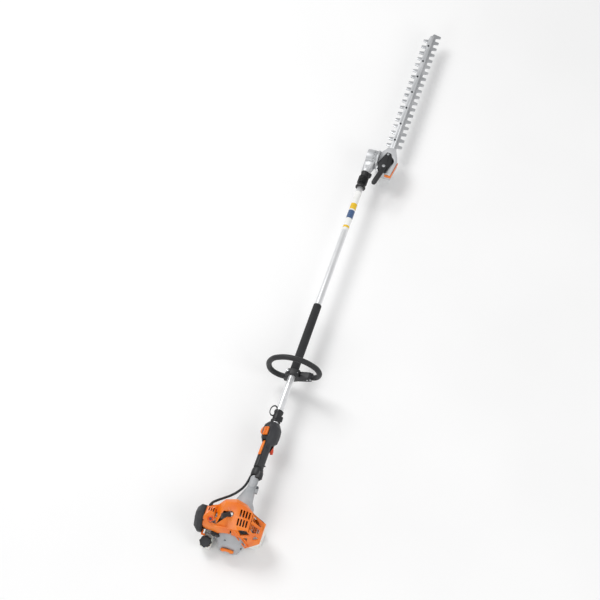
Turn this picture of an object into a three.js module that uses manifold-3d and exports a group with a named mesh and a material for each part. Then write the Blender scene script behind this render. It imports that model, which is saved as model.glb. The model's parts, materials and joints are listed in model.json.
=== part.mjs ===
// Long-reach petrol hedge trimmer: engine at the rear, a pole with a control handle and a loop
// handle, and a swivelling cutter head with two reciprocating blades.
// Units are millimetres. +Y runs along the pole towards the blade, +X is the machine's right,
// +Z is up. The origin is on the ground, in the middle of the foot under the engine.
import * as THREE from 'three';
import { mergeVertices } from 'three/addons/utils/BufferGeometryUtils.js';
import { ConvexGeometry } from 'three/addons/geometries/ConvexGeometry.js';
import Module from 'manifold-3d';

const wasm = await Module();
wasm.setup();

// ---------------------------------------------------------------------------------------------
// Driving dimensions
// ---------------------------------------------------------------------------------------------
const FIT_GAP = 0.3; // between pieces that touch
const RUN_GAP = 0.5; // between pieces that move past each other
const AXIS_HEIGHT = 95; // crankshaft and pole axis above the ground

// Pole
const POLE_RADIUS = 12.7;
const POLE_WALL = 2;
const NECK_END = 180; // front end of the clutch housing's neck
const POLE_GRASP = 40; // length of pole held in the neck and in the gear housing
const POLE_REACH = 1398; // from the neck to the gear housing
const HEAD_START = NECK_END + POLE_REACH;
const SHAFT_RADIUS = 4;

// Engine
const BORE_RADIUS = 17;
const STROKE = 24;
const ROD_LENGTH = 40;
const CYLINDER_Y = 16; // centre of the cylinder along the crankshaft
const ROD_WIDTH = 6;
const WEB_THICKNESS = 6;
const WEB_RADIUS = 19;
const JOURNAL_RADIUS = 6;
const BEARING_RADIUS = 13;
const BEARING_WIDTH = 8;
const PISTON_HEIGHT = 20;
const FIN_WIDTH = 46;
const FIN_PITCH = 6;
const FIN_COUNT = 6;
const FAN_RADIUS = 38;
const DRUM_RADIUS = 29;
const DRUM_WALL = 2;
const NECK_RADIUS = 15.6;

// Controls
const HANDLE_ROLL = -35; // degrees about the pole, towards the user's left
const HANDLE_START = NECK_END + 4;
const COLLAR_LENGTH = 34;
const GRIP_LENGTH = 108;
const HEAD_LENGTH = 78;
const GRIP_HALF_WIDTH = 16.5;
const GRIP_HALF_HEIGHT = 20;
const TRIGGER_WIDTH = 9;
const WHEEL_RADIUS = 18;
const WHEEL_WIDTH = 8;
const HANGER_GAP = 8; // from the control handle to the carrying ring
const HANGER_LENGTH = 50;
const LOOP_PLANE = 625; // loop handle's plane along the pole
const LOOP_TUBE_RADIUS = 10.5;
const CLAMP_WIDTH = 26;
const FOAM_START = LOOP_PLANE + 15;
const FOAM_LENGTH = 296;
const FOAM_WALL = 2.9;

// Cutter head
const SLEEVE_LENGTH = 75;
const PIVOT_Y = HEAD_START + 77;
const DRUM_HOUSING_RADIUS = 36;
const CUTTER_X = 70; // middle of the blades, to the right of the pole
const BLADE_HALF_WIDTH = 14;
const TOOTH_LENGTH = 18.5;
const TOOTH_PITCH = 33.2;
const TEETH_LEFT = 18;
const TEETH_RIGHT = 19;
const FIRST_TOOTH = PIVOT_Y + 97;
const BLADE_THICKNESS = 2.2;
const LOWER_BLADE_Z = AXIS_HEIGHT - 18.1;
const BLADE_STROKE = 17;
const BAR_X = CUTTER_X - 3; // the bar's middle
const BAR_WIDTH = 20;
const BAR_THICKNESS = 4.5;
const BAR_BOLT_PITCH = 85;
const BAR_BOLT_COUNT = 7;
const FIRST_BOLT = 25; // from the first tooth
const BOLT_RADIUS = 3;
const COVER_Z = AXIS_HEIGHT + 12;

// ---------------------------------------------------------------------------------------------
// Geometry helpers: each returns a manifold-3d solid
// ---------------------------------------------------------------------------------------------
const AXES = {
  x: new THREE.Matrix4().makeBasis(
    new THREE.Vector3(0, 1, 0), new THREE.Vector3(0, 0, 1), new THREE.Vector3(1, 0, 0)),
  y: new THREE.Matrix4().makeBasis(
    new THREE.Vector3(1, 0, 0), new THREE.Vector3(0, 0, 1), new THREE.Vector3(0, 1, 0)),
  z: new THREE.Matrix4(),
};

// Welds a closed three.js geometry, turns its faces outward and makes it a solid.
function solid(geometry) {
  const bare = geometry.clone();
  bare.deleteAttribute('normal');
  bare.deleteAttribute('uv');
  const welded = mergeVertices(bare, 1e-4);
  const points = welded.attributes.position.array;
  const corners = welded.index.array;
  const faces = [];
  let volume = 0;
  const [a, b, c] = [new THREE.Vector3(), new THREE.Vector3(), new THREE.Vector3()];
  for (let i = 0; i < corners.length; i += 3) {
    const [p, q, r] = [corners[i], corners[i + 1], corners[i + 2]];
    if (p === q || q === r || r === p) continue;
    faces.push(p, q, r);
    a.fromArray(points, 3 * p);
    b.fromArray(points, 3 * q);
    c.fromArray(points, 3 * r);
    volume += a.dot(b.cross(c));
  }
  if (volume < 0) faces.reverse();
  const mesh = new wasm.Mesh({
    numProp: 3,
    vertProperties: new Float32Array(points),
    triVerts: new Uint32Array(faces),
  });
  return new wasm.Manifold(mesh);
}

// The solid as a three.js geometry.
function geometryOf(body) {
  const mesh = body.getMesh();
  const geometry = new THREE.BufferGeometry();
  geometry.setAttribute('position', new THREE.BufferAttribute(mesh.vertProperties, 3));
  geometry.setIndex(new THREE.BufferAttribute(mesh.triVerts, 1));
  geometry.computeVertexNormals();
  return geometry;
}

function moved(body, matrix) {
  return solid(geometryOf(body).applyMatrix4(matrix));
}

function box(x0, x1, y0, y1, z0, z1) {
  const geometry = new THREE.BoxGeometry(x1 - x0, y1 - y0, z1 - z0);
  return solid(geometry.translate((x0 + x1) / 2, (y0 + y1) / 2, (z0 + z1) / 2));
}

// A flat outline of [a, b] points extruded along an axis: (a, b) is (y, z), (x, z) or (x, y).
function prism(axis, outline, from, to) {
  const shape = new THREE.Shape(outline.map(([a, b]) => new THREE.Vector2(a, b)));
  const geometry = new THREE.ExtrudeGeometry(shape, { depth: to - from, bevelEnabled: false });
  return solid(geometry.translate(0, 0, from).applyMatrix4(AXES[axis]));
}

function circle(radius, a = 0, b = 0, sides = 16, radiusB = radius) {
  const points = [];
  for (let i = 0; i < sides; i += 1) {
    const angle = (2 * Math.PI * (i + 0.5)) / sides;
    points.push([a + radius * Math.cos(angle), b + radiusB * Math.sin(angle)]);
  }
  return points;
}

function rod(axis, radius, from, to, a = 0, b = 0, sides = 16) {
  return prism(axis, circle(radius, a, b, sides), from, to);
}

function ring(axis, inner, outer, from, to, a = 0, b = 0, sides = 16) {
  return rod(axis, outer, from, to, a, b, sides).subtract(
    rod(axis, inner, from - 1, to + 1, a, b, sides));
}

// A profile of [radius, distance along] points turned about the pole's axis.
function turned(profile, sides = 16) {
  const points = profile.map(([radius, along]) => new THREE.Vector2(radius, along));
  return solid(new THREE.LatheGeometry(points, sides));
}

function hull(points) {
  return solid(new ConvexGeometry(points.map((p) => new THREE.Vector3(...p))));
}

// A hull drawn in around its middle, to make a wall when it is cut from the full one.
function drawnIn(points, share) {
  const middle = [0, 1, 2].map((k) => points.reduce((sum, p) => sum + p[k], 0) / points.length);
  return points.map((p) => p.map((value, k) => middle[k] + (value - middle[k]) * share));
}

function lowered(points, drop) {
  return points.concat(points.map(([x, y, z]) => [x, y, z - drop]));
}

// A round bar along a smooth curve through points.
function sweep(points, radius, sides, steps) {
  const path = new THREE.CatmullRomCurve3(points.map((p) => new THREE.Vector3(...p)));
  const section = new THREE.Shape(
    circle(radius, 0, 0, sides).map(([a, b]) => new THREE.Vector2(a, b)));
  return solid(new THREE.ExtrudeGeometry(section, { steps, extrudePath: path }));
}

// Joins a row of cross-sections along Y, each {y, outline of [x, z]}, by hulls between neighbours.
function loft(sections) {
  const at = ({ y, outline }) => outline.map(([x, z]) => [x, y, z]);
  let body = null;
  for (let i = 1; i < sections.length; i += 1) {
    const piece = hull(at(sections[i - 1]).concat(at(sections[i])));
    body = body ? body.add(piece) : piece;
  }
  return body;
}

// ---------------------------------------------------------------------------------------------
// Materials
// ---------------------------------------------------------------------------------------------
function finish(color, roughness, metalness) {
  return new THREE.MeshStandardMaterial({ color, roughness, metalness });
}
const ORANGE_PLASTIC = finish(0xf26a12, 0.38, 0);
const RED_PLASTIC = finish(0xf0450f, 0.38, 0);
const BLACK_PLASTIC = finish(0x1c1d1f, 0.5, 0);
const DARK_PLASTIC = finish(0x3b3c40, 0.5, 0);
const GREY_PLASTIC = finish(0xc9cbca, 0.5, 0);
const TANK_PLASTIC = finish(0xe6e7e3, 0.35, 0);
const RUBBER = finish(0x141415, 0.7, 0);
const FOAM = finish(0x232426, 0.95, 0);
const CAST_ALUMINIUM = finish(0xc4c7c9, 0.45, 0.85);
const TUBE_ALUMINIUM = finish(0xd6d8da, 0.3, 0.95);
const BLADE_STEEL = finish(0xc9ccce, 0.28, 1);
const DARK_STEEL = finish(0x55585c, 0.4, 1);
const BEARING_STEEL = finish(0xa9adb1, 0.25, 1);
const FELT = finish(0xd8d2bd, 0.95, 0);

// ---------------------------------------------------------------------------------------------
// Scene graph: the model, and two turned groups that hold their pieces in their own frames
// ---------------------------------------------------------------------------------------------
const model = new THREE.Group();
const poleLine = new THREE.Group(); // its origin is on the crank axis
poleLine.position.z = AXIS_HEIGHT;
const handleFrame = new THREE.Group(); // +X is the handle's right side, +Z its top
handleFrame.rotation.y = THREE.MathUtils.degToRad(HANDLE_ROLL);
poleLine.add(handleFrame);
model.add(poleLine);

function add(name, body, material, parent = model) {
  const mesh = new THREE.Mesh(geometryOf(body), material);
  mesh.name = name;
  parent.add(mesh);
  return mesh;
}

// ---------------------------------------------------------------------------------------------
// Crank train, on the crank axis
// ---------------------------------------------------------------------------------------------
const CRANK_RADIUS = STROKE / 2;
const webInner = ROD_WIDTH / 2 + 0.4;
const webOuter = webInner + WEB_THICKNESS;
const bearingNear = webOuter + 1.6;
const bearingFar = bearingNear + BEARING_WIDTH;
const caseFar = bearingFar + 5;
const FAN_FRONT = CYLINDER_Y - caseFar - 3;
const FAN_REAR = FAN_FRONT - 22;
const CLUTCH_REAR = CYLINDER_Y + caseFar + 4;
const CLUTCH_WIDTH = 11;

function crankHalf(side, end) {
  const web = rod('y', WEB_RADIUS, CYLINDER_Y + side * webInner, CYLINDER_Y + side * webOuter,
    0, 0, 24);
  const journal = rod('y', JOURNAL_RADIUS, CYLINDER_Y + side * (webOuter - 1), end, 0, 0, 16);
  return web.add(journal);
}

function bearing(side) {
  const near = CYLINDER_Y + side * bearingNear;
  const far = CYLINDER_Y + side * bearingFar;
  return ring('y', JOURNAL_RADIUS + FIT_GAP, BEARING_RADIUS, Math.min(near, far),
    Math.max(near, far), 0, 0, 16);
}

const pinHeight = CRANK_RADIUS + ROD_LENGTH;
const crownHeight = pinHeight + 12;
const PISTON_RADIUS = BORE_RADIUS - 0.2;

function pistonSolid() {
  const body = rod('z', PISTON_RADIUS, crownHeight - PISTON_HEIGHT, crownHeight, 0, CYLINDER_Y, 24);
  const skirt = rod('z', PISTON_RADIUS - 2.5, crownHeight - PISTON_HEIGHT - 1, crownHeight - 4,
    0, CYLINDER_Y, 24);
  const wristPin = rod('y', 4, CYLINDER_Y - PISTON_RADIUS + 1, CYLINDER_Y + PISTON_RADIUS - 1,
    0, pinHeight, 12);
  return body.subtract(skirt).add(wristPin);
}

function rodSolid() {
  const [rear, front] = [CYLINDER_Y - ROD_WIDTH / 2, CYLINDER_Y + ROD_WIDTH / 2];
  const shank = prism('y', [[-4, CRANK_RADIUS], [4, CRANK_RADIUS], [3, pinHeight], [-3, pinHeight]],
    rear, front);
  const bigEnd = rod('y', 8, rear, front, 0, CRANK_RADIUS, 16);
  const smallEnd = rod('y', 7, rear, front, 0, pinHeight, 16);
  const wristBore = rod('y', 4 + FIT_GAP, rear - 1, front + 1, 0, pinHeight, 12);
  return shank.add(bigEnd).add(smallEnd).subtract(wristBore);
}

function fanSolid() {
  const disc = rod('y', FAN_RADIUS, FAN_REAR + 18, FAN_FRONT, 0, 0, 24);
  const hub = rod('y', 13, FAN_REAR, FAN_FRONT, 0, 0, 16);
  let fan = disc.add(hub);
  const bladeCount = 12;
  for (let i = 0; i < bladeCount; i += 1) {
    const turn = new THREE.Matrix4().makeRotationY((2 * Math.PI * i) / bladeCount);
    fan = fan.add(moved(box(19, FAN_RADIUS - 1, FAN_REAR + 4, FAN_REAR + 18.5, -1, 1), turn));
  }
  return fan.subtract(rod('y', JOURNAL_RADIUS + FIT_GAP, FAN_REAR - 1, FAN_FRONT + 1, 0, 0, 16));
}

function clutchShoes() {
  const [rear, front] = [CLUTCH_REAR, CLUTCH_REAR + CLUTCH_WIDTH];
  const outer = DRUM_RADIUS - DRUM_WALL - 1.2;
  let shoes = ring('y', outer - 8, outer, rear, front, 0, 0, 24);
  shoes = shoes.subtract(box(-outer - 1, outer + 1, rear - 1, front + 1, -2, 2));
  const carrier = box(-9, 9, rear, front, -(outer - 6), outer - 6);
  return shoes.add(carrier).add(rod('y', 10, rear, front, 0, 0, 16)).subtract(
    rod('y', JOURNAL_RADIUS + FIT_GAP, rear - 1, front + 1, 0, 0, 16));
}

const DRUM_BACK = CLUTCH_REAR + CLUTCH_WIDTH + 2;
const DRUM_HUB_END = DRUM_BACK + 34;

function clutchDrum() {
  const cup = turned([
    [0, DRUM_BACK], [DRUM_RADIUS - DRUM_WALL, DRUM_BACK], [DRUM_RADIUS - DRUM_WALL, CLUTCH_REAR - 1],
    [DRUM_RADIUS, CLUTCH_REAR - 1], [DRUM_RADIUS, DRUM_BACK + 3], [9, DRUM_BACK + 3],
    [9, DRUM_HUB_END], [0, DRUM_HUB_END]], 24);
  return cup.subtract(rod('y', SHAFT_RADIUS + FIT_GAP, DRUM_BACK + 12, DRUM_HUB_END + 1, 0, 0, 12));
}

const CRANK_REAR_END = FAN_REAR - 4;
const CRANK_FRONT_END = CLUTCH_REAR + CLUTCH_WIDTH - 1;
add('crank_half_rear', crankHalf(-1, CRANK_REAR_END), DARK_STEEL, poleLine);
add('crank_half_front', crankHalf(1, CRANK_FRONT_END), DARK_STEEL, poleLine);
add('crank_bearing_rear', bearing(-1), BEARING_STEEL, poleLine);
add('crank_bearing_front', bearing(1), BEARING_STEEL, poleLine);
add('piston', pistonSolid(), CAST_ALUMINIUM, poleLine);
add('connecting_rod', rodSolid(), DARK_STEEL, poleLine);
add('flywheel_fan', fanSolid(), CAST_ALUMINIUM, poleLine);
add('clutch_shoes', clutchShoes(), DARK_STEEL, poleLine);
add('clutch_drum', clutchDrum(), DARK_STEEL, poleLine);

// ---------------------------------------------------------------------------------------------
// Crankcase, cylinder and what bolts to them
// ---------------------------------------------------------------------------------------------
const CASE_RADIUS = 28;
const CASE_TOP = 31; // where the cylinder's base sits, above the crank axis

function crankcase() {
  const [rear, front] = [CYLINDER_Y - caseFar, CYLINDER_Y + caseFar];
  let body = rod('y', CASE_RADIUS, rear, front, 0, 0, 24).add(
    box(-25, 25, rear, front, -10, CASE_TOP));
  body = body.subtract(rod('y', WEB_RADIUS + 2, CYLINDER_Y - webOuter - 1,
    CYLINDER_Y + webOuter + 1, 0, 0, 24));
  body = body.subtract(rod('y', BEARING_RADIUS + FIT_GAP, CYLINDER_Y - bearingFar,
    CYLINDER_Y + bearingFar, 0, 0, 16));
  body = body.subtract(rod('y', JOURNAL_RADIUS + RUN_GAP, rear - 1, front + 1, 0, 0, 16));
  const feet = box(-34, 34, rear + 2, front - 2, -36, -24);
  return body.add(feet).subtract(rod('z', BORE_RADIUS + 0.6, 0, CASE_TOP + 1, 0, CYLINDER_Y, 24));
}

const CYLINDER_TOP = crownHeight + 8;

// A cooling fin's outline: a square with its corners cut off.
function finOutline(half) {
  const cut = half * 0.6;
  return [[-half, -cut], [-cut, -half], [cut, -half], [half, -cut], [half, cut], [cut, half],
    [-cut, half], [-half, cut]].map(([x, y]) => [x, CYLINDER_Y + y]);
}

function cylinder() {
  const base = CASE_TOP + FIT_GAP;
  const half = FIN_WIDTH / 2;
  let body = rod('z', BORE_RADIUS + 4, base, CYLINDER_TOP, 0, CYLINDER_Y, 12);
  body = body.add(prism('z', finOutline(half - 1), base, base + 4));
  for (let i = 0; i < FIN_COUNT; i += 1) {
    const z = CYLINDER_TOP - 2 - i * FIN_PITCH;
    body = body.add(prism('z', finOutline(half), z - 0.2, z + 2));
  }
  body = body.add(box(-half - 6, -15, CYLINDER_Y - 11, CYLINDER_Y + 11, base + 4, base + 20));
  body = body.add(box(15, half + 4, CYLINDER_Y - 11, CYLINDER_Y + 11, base + 4, base + 20));
  body = body.subtract(rod('z', BORE_RADIUS, base - 1, crownHeight + 1, 0, CYLINDER_Y, 24));
  body = body.subtract(rod('x', 7, -half - 7, -10, CYLINDER_Y, base + 12, 12));
  return body.subtract(rod('x', 7, 10, half + 5, CYLINDER_Y, base + 12, 12));
}

// The spark plug's own frame: +Z points out of the cylinder head.
const PLUG_START = new THREE.Vector3(-6, CYLINDER_Y - 10, crownHeight + 3);
const PLUG_TURN = new THREE.Quaternion().setFromUnitVectors(
  new THREE.Vector3(0, 0, 1), new THREE.Vector3(-0.72, -0.62, 0.3).normalize());
const plugFrame = new THREE.Matrix4().compose(PLUG_START, PLUG_TURN, new THREE.Vector3(1, 1, 1));
const PLUG_LENGTH = 48;

function sparkPlug() {
  const thread = rod('z', 5, 9, 22, 0, 0, 12);
  const hex = rod('z', 9, 21, 29, 0, 0, 6);
  const insulator = rod('z', 4, 28, PLUG_LENGTH, 0, 0, 12);
  return thread.add(hex).add(insulator);
}

function plugBoot() {
  const boot = rod('z', 8, 31, PLUG_LENGTH + 10, 0, 0, 14).subtract(
    rod('z', 4 + FIT_GAP, 30, PLUG_LENGTH + FIT_GAP, 0, 0, 12));
  return boot.add(rod('z', 9.5, PLUG_LENGTH + 2, PLUG_LENGTH + 12, 0, 0, 14));
}

const plugRoom = moved(rod('z', 10 + RUN_GAP, 8, PLUG_LENGTH + 16, 0, 0, 12), plugFrame);
add('crankcase', crankcase(), CAST_ALUMINIUM, poleLine);
add('cylinder', cylinder().subtract(plugRoom), CAST_ALUMINIUM, poleLine);
add('spark_plug', moved(sparkPlug(), plugFrame), BEARING_STEEL, poleLine);
add('plug_boot', moved(plugBoot(), plugFrame), RUBBER, poleLine);

const portHeight = CASE_TOP + FIT_GAP + 12;
const INTAKE_FACE = -FIN_WIDTH / 2 - 6 - FIT_GAP;
const EXHAUST_FACE = FIN_WIDTH / 2 + 4 + FIT_GAP;
const FILTER_FACE = -118; // where the air filter's base starts

const INLET_Y = CYLINDER_Y - 26; // the air inlet is behind the cylinder's port
const THROAT_RADIUS = 5.5;
const carburetorHeight = portHeight - 8; // middle of the air inlet

function carburetor() {
  const [left, right] = [INTAKE_FACE - 42, INTAKE_FACE - 16];
  const body = box(left, right, INLET_Y - 12, CYLINDER_Y + 6, portHeight - 22, portHeight + 2);
  const inlet = rod('x', THROAT_RADIUS + 3, FILTER_FACE + FIT_GAP, left + 1, INLET_Y, carburetorHeight, 14);
  const outlet = rod('x', THROAT_RADIUS + 3, right - 1, INTAKE_FACE, CYLINDER_Y, portHeight, 14);
  const flange = box(INTAKE_FACE - 4, INTAKE_FACE, CYLINDER_Y - 11, CYLINDER_Y + 11,
    portHeight - 9, portHeight + 9);
  const throat = rod('x', THROAT_RADIUS, FILTER_FACE - 1, left + 14, INLET_Y, carburetorHeight, 10)
    .add(rod('x', THROAT_RADIUS, left + 8, INTAKE_FACE + 1, CYLINDER_Y, portHeight, 10))
    .add(box(left + 8, left + 14, INLET_Y, CYLINDER_Y, carburetorHeight - 5, portHeight + 4));
  return body.add(inlet).add(outlet).add(flange).subtract(throat);
}

const MUFFLER_RIGHT = 76;

function muffler() {
  const left = EXHAUST_FACE + 6;
  const can = hull([
    [left, -8, -8], [left, 26, -8], [left, -8, 42], [left, 26, 36],
    [MUFFLER_RIGHT, -14, -4], [MUFFLER_RIGHT, 12, -4],
    [MUFFLER_RIGHT - 8, -14, 34], [MUFFLER_RIGHT - 8, 8, 30]]);
  const flange = box(EXHAUST_FACE, left + 1, CYLINDER_Y - 11, CYLINDER_Y + 11,
    portHeight - 8, portHeight + 8);
  const outlet = rod('y', 7, -28, -10, 62, 4, 12);
  const hollow = box(left + 2, MUFFLER_RIGHT - 14, -8, 9, 2, 26);
  const port = rod('x', 6, EXHAUST_FACE - 1, left + 4, CYLINDER_Y - 4, portHeight, 12);
  return can.add(flange).add(outlet).subtract(hollow).subtract(port).subtract(
    rod('y', 5, -29, 0, 62, 4, 12));
}

function ignitionModule() {
  const across = FAN_RADIUS + 1;
  const core = box(-across - 13, -across + 8, FAN_REAR + 5, FAN_REAR + 15, -43, -20);
  return core.subtract(rod('y', FAN_RADIUS + 1.2, FAN_REAR, FAN_FRONT, 0, 0, 24));
}

add('carburetor', carburetor(), CAST_ALUMINIUM, poleLine);
add('muffler', muffler(), DARK_STEEL, poleLine);
add('ignition_module', ignitionModule(), BLACK_PLASTIC, poleLine);

// ---------------------------------------------------------------------------------------------
// Air filter on the left, with the choke lever and the primer bulb below it
// ---------------------------------------------------------------------------------------------
const FILTER_RIM = [[-66, -32], [-40, -44], [-4, -42], [16, -26], [20, 12], [6, 52], [-26, 62],
  [-52, 40], [-72, -4]];
const FILTER_NOSE = [[-50, -20], [-30, -30], [-6, -26], [4, 2], [-2, 34], [-24, 44], [-40, 34],
  [-58, 0]];
const FILTER_BACK = FILTER_FACE - 3.5;
const COVER_NOSE = -150;

function filterBase() {
  const plate = prism('x', FILTER_RIM, FILTER_BACK, FILTER_FACE);
  return plate.subtract(rod('x', THROAT_RADIUS, FILTER_BACK - 1, FILTER_FACE + 1, INLET_Y,
    portHeight, 10));
}

function filterCover() {
  const rim = FILTER_BACK - FIT_GAP;
  const points = FILTER_RIM.map(([y, z]) => [rim, y, z]).concat(
    FILTER_RIM.map(([y, z]) => [rim - 14, y, z]),
    FILTER_NOSE.map(([y, z]) => [COVER_NOSE, y, z]));
  const inside = drawnIn(points, 0.9);
  const mouth = inside.map(([x, y, z]) => [x + 20, y, z]);
  return hull(points).subtract(hull(inside.concat(mouth)));
}

function filterElement() {
  const outline = FILTER_NOSE.map(([y, z]) => [(y + 25) * 0.85 - 25, (z - 6) * 0.85 + 6]);
  return prism('x', outline, FILTER_BACK - 17, FILTER_BACK - FIT_GAP);
}

// Points on the choke lever's plate in (y, z) about the crank axis.
const CHOKE_PIVOT = [-60, -22];

function chokeLever() {
  const [y, z] = CHOKE_PIVOT;
  const plate = prism('x', [[y - 5, z - 5], [y + 5, z - 5], [y + 5, z + 5], [y - 8, z + 8],
    [y - 16, z + 6], [y - 16, z - 2]], FILTER_FACE + RUN_GAP, FILTER_FACE + 5);
  const tab = box(FILTER_FACE + RUN_GAP, FILTER_FACE + 15, y - 16, y - 11, z - 2, z + 6);
  return plate.add(tab);
}

const PRIMER = { x: -73, y: -61, z: -12, radius: 11 };

function primerBulb() {
  const { radius } = PRIMER;
  const points = [[0, 0], [radius, 0], [radius, -2]];
  for (let i = 0; i <= 4; i += 1) {
    const angle = (Math.PI / 2) * (i / 4);
    points.push([radius * 0.86 * Math.cos(angle), -2.5 - 9 * Math.sin(angle)]);
  }
  const bulb = turned(points, 14);
  return moved(bulb, new THREE.Matrix4().makeTranslation(PRIMER.x, PRIMER.y, PRIMER.z));
}

add('filter_base', filterBase(), BLACK_PLASTIC, poleLine);
add('filter_element', filterElement(), FELT, poleLine);
add('filter_cover', filterCover(), BLACK_PLASTIC, poleLine);
add('choke_lever', chokeLever(), ORANGE_PLASTIC, poleLine);
add('primer_bulb', primerBulb(), RUBBER, poleLine);

// ---------------------------------------------------------------------------------------------
// Clutch housing, with its long neck that holds the pole
// ---------------------------------------------------------------------------------------------
const HOUSING_REAR = CLUTCH_REAR - 3;

function lopsided(left, right, top, bottom, sides = 16) {
  return circle(1, 0, 0, sides).map(([a, b]) => [a * (a < 0 ? left : right), b * (b < 0 ? bottom : top)]);
}

function housingSections(wall) {
  return [
    { y: HOUSING_REAR, outline: lopsided(38 - wall, 38 - wall, 38 - wall, 38 - wall) },
    { y: DRUM_BACK + 6, outline: lopsided(38 - wall, 34.5 - wall, 36 - wall, 35 - wall) },
    { y: 82, outline: lopsided(37 - wall, 23 - wall, 31 - wall, 25 - wall) },
    { y: NECK_END - POLE_GRASP - 6, outline: lopsided(NECK_RADIUS + 2 - wall, NECK_RADIUS + 1 - wall,
      NECK_RADIUS + 1 - wall, NECK_RADIUS + 1 - wall) },
  ];
}

function clutchHousing() {
  const bellEnd = NECK_END - POLE_GRASP - 6;
  let body = loft(housingSections(0));
  body = body.add(rod('y', NECK_RADIUS, bellEnd - 1, NECK_END));
  body = body.add(ring('y', 34, 39.5, HOUSING_REAR, HOUSING_REAR + 5, 0, 0, 24));
  const lugY = bellEnd - 12;
  body = body.add(box(10, 25, lugY, lugY + 26, -8, 8));
  const inside = loft(housingSections(3));
  const mouth = rod('y', 35, HOUSING_REAR - 1, HOUSING_REAR + 1, 0, 0, 24);
  body = body.subtract(inside).subtract(mouth);
  body = body.subtract(rod('y', POLE_RADIUS + FIT_GAP, bellEnd - 1.5, NECK_END + 1));
  return body.subtract(rod('z', 2.8, -9, 9, 20, lugY + 19, 12));
}

function clampScrew() {
  const y = NECK_END - POLE_GRASP + 1;
  return rod('z', 2.5, -11, 9, 20, y, 12).add(rod('z', 4.6, 8 + FIT_GAP, 13, 20, y, 12));
}

add('clutch_housing', clutchHousing(), CAST_ALUMINIUM, poleLine);
add('clamp_screw', clampScrew(), DARK_STEEL, poleLine);

// ---------------------------------------------------------------------------------------------
// Recoil starter at the rear
// ---------------------------------------------------------------------------------------------
const STARTER_REAR = -91;
const STARTER_FRONT = -54;
const GRIP_X = -14;
const GRIP_Z = -46;
const PULLEY_RADIUS = 19;
const PULLEY_REAR = -50;

function starterHousing() {
  const rearFace = [[-46, -72], [-46, -34], [-34, -22], [-8, -18], [12, -24], [22, -40], [18, -74],
    [6, -87], [-30, -87]];
  const frontFace = [[-72, -60], [-70, -24], [-50, 6], [-24, 16], [8, 14], [34, 2], [42, -24],
    [36, -74], [26, -90], [-56, -90]];
  const points = rearFace.map(([x, z]) => [x, STARTER_REAR, z]).concat(
    frontFace.map(([x, z]) => [x, STARTER_FRONT, z]));
  const inside = drawnIn(points, 0.93);
  const mouth = inside.map(([x, y, z]) => [x, y + 30, z]);
  const outside = hull(points);
  const postRoot = rod('y', 14, STARTER_REAR + 8, STARTER_FRONT - 4, 0, 0, 12).intersect(outside);
  const post = rod('y', 5, STARTER_FRONT - 8, PULLEY_REAR + 8, 0, 0, 12);
  return outside.subtract(hull(inside.concat(mouth))).add(postRoot).add(post).subtract(
    rod('y', 3.4, STARTER_REAR - 1, STARTER_REAR + 12, GRIP_X, GRIP_Z, 12));
}

function starterPulley() {
  return turned([
    [5 + RUN_GAP, PULLEY_REAR], [PULLEY_RADIUS, PULLEY_REAR], [PULLEY_RADIUS, PULLEY_REAR + 2],
    [PULLEY_RADIUS - 6, PULLEY_REAR + 3], [PULLEY_RADIUS - 6, PULLEY_REAR + 7],
    [PULLEY_RADIUS, PULLEY_REAR + 8], [PULLEY_RADIUS, PULLEY_REAR + 10],
    [5 + RUN_GAP, PULLEY_REAR + 10], [5 + RUN_GAP, PULLEY_REAR]], 24);
}

function starterGrip() {
  const rear = STARTER_REAR - 13;
  const front = STARTER_REAR - 1.5;
  const wide = circle(25, GRIP_X, GRIP_Z, 20, 10);
  const small = circle(22, GRIP_X, GRIP_Z, 20, 7);
  const body = loft([{ y: rear, outline: small }, { y: rear + 4, outline: wide },
    { y: front - 3, outline: wide }, { y: front, outline: small }]);
  return body.subtract(rod('y', 1.7 + FIT_GAP, rear + 6, front + 1, GRIP_X, GRIP_Z, 10));
}

add('starter_housing', starterHousing(), GREY_PLASTIC, poleLine);
add('starter_pulley', starterPulley(), BLACK_PLASTIC, poleLine);
add('starter_grip', starterGrip(), ORANGE_PLASTIC, poleLine);
add('starter_rope', rod('y', 1.7, STARTER_REAR - 6.5, STARTER_REAR + 16, GRIP_X, GRIP_Z, 8), RUBBER,
  poleLine);

// Throttle cable, from the handle's collar to the left front of the shroud
const CABLE_ROUTE = [
  [-19, HANDLE_START - 1.2, -9], [-21, 165, -7], [-25, 138, 2], [-34, 112, 13], [-51, 82, 26],
  [-73, 55, 40], [-92, 34, 50], [-104, 19, 54], [-109, 5, 48]];
const CABLE_RADIUS = 3.8;
function cable(radius) {
  return sweep(CABLE_ROUTE, radius, 8, 24);
}

// ---------------------------------------------------------------------------------------------
// Engine shroud and muffler guard: faceted shells, open underneath
// ---------------------------------------------------------------------------------------------
const DOME = [
  [-50, 20, 97], [-14, 24, 106], [22, 20, 98], [51, 11, 84], [53, -50, 52], [-15, -55, 47],
  [-76, -58, 28], [-86, -60, 4], [-30, -66, -1], [8, -68, -14], [40, -56, -30],
  [-57, 33, 85], [-18, 46, 85], [18, 42, 69], [31, 26, 62], [48, 17, 70], [50, 34, 2], [42, 44, 2],
  [50, 34, -10], [42, 44, -10], [-80, 44, 2], [-80, 44, -10], [-80, 20, 55], [-84, -56, -10]];
const SIDE_BOX = [
  [-117, 2, 53], [-117, -40, 56], [-117, -57, 24], [-117, -50, -30], [-117, 10, -30], [-117, 8, 46],
  [-88, 4, 60], [-80, 20, 55], [-72, -57, 30], [-72, -57, -10], [-72, 20, -30], [-84, -60, 4]];
const GUARD = [
  [51, 11, 84], [99, 4, 38], [91, -52, -18], [48, -70, -42], [53, -50, 52], [-10, -55, 42],
  [-8, -66, 8], [94, 17, 0], [88, 17, -30], [50, 34, 2], [50, 34, -38], [42, 44, 2], [42, 44, -38],
  [40, -62, -20], [96, -22, 28]];
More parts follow.
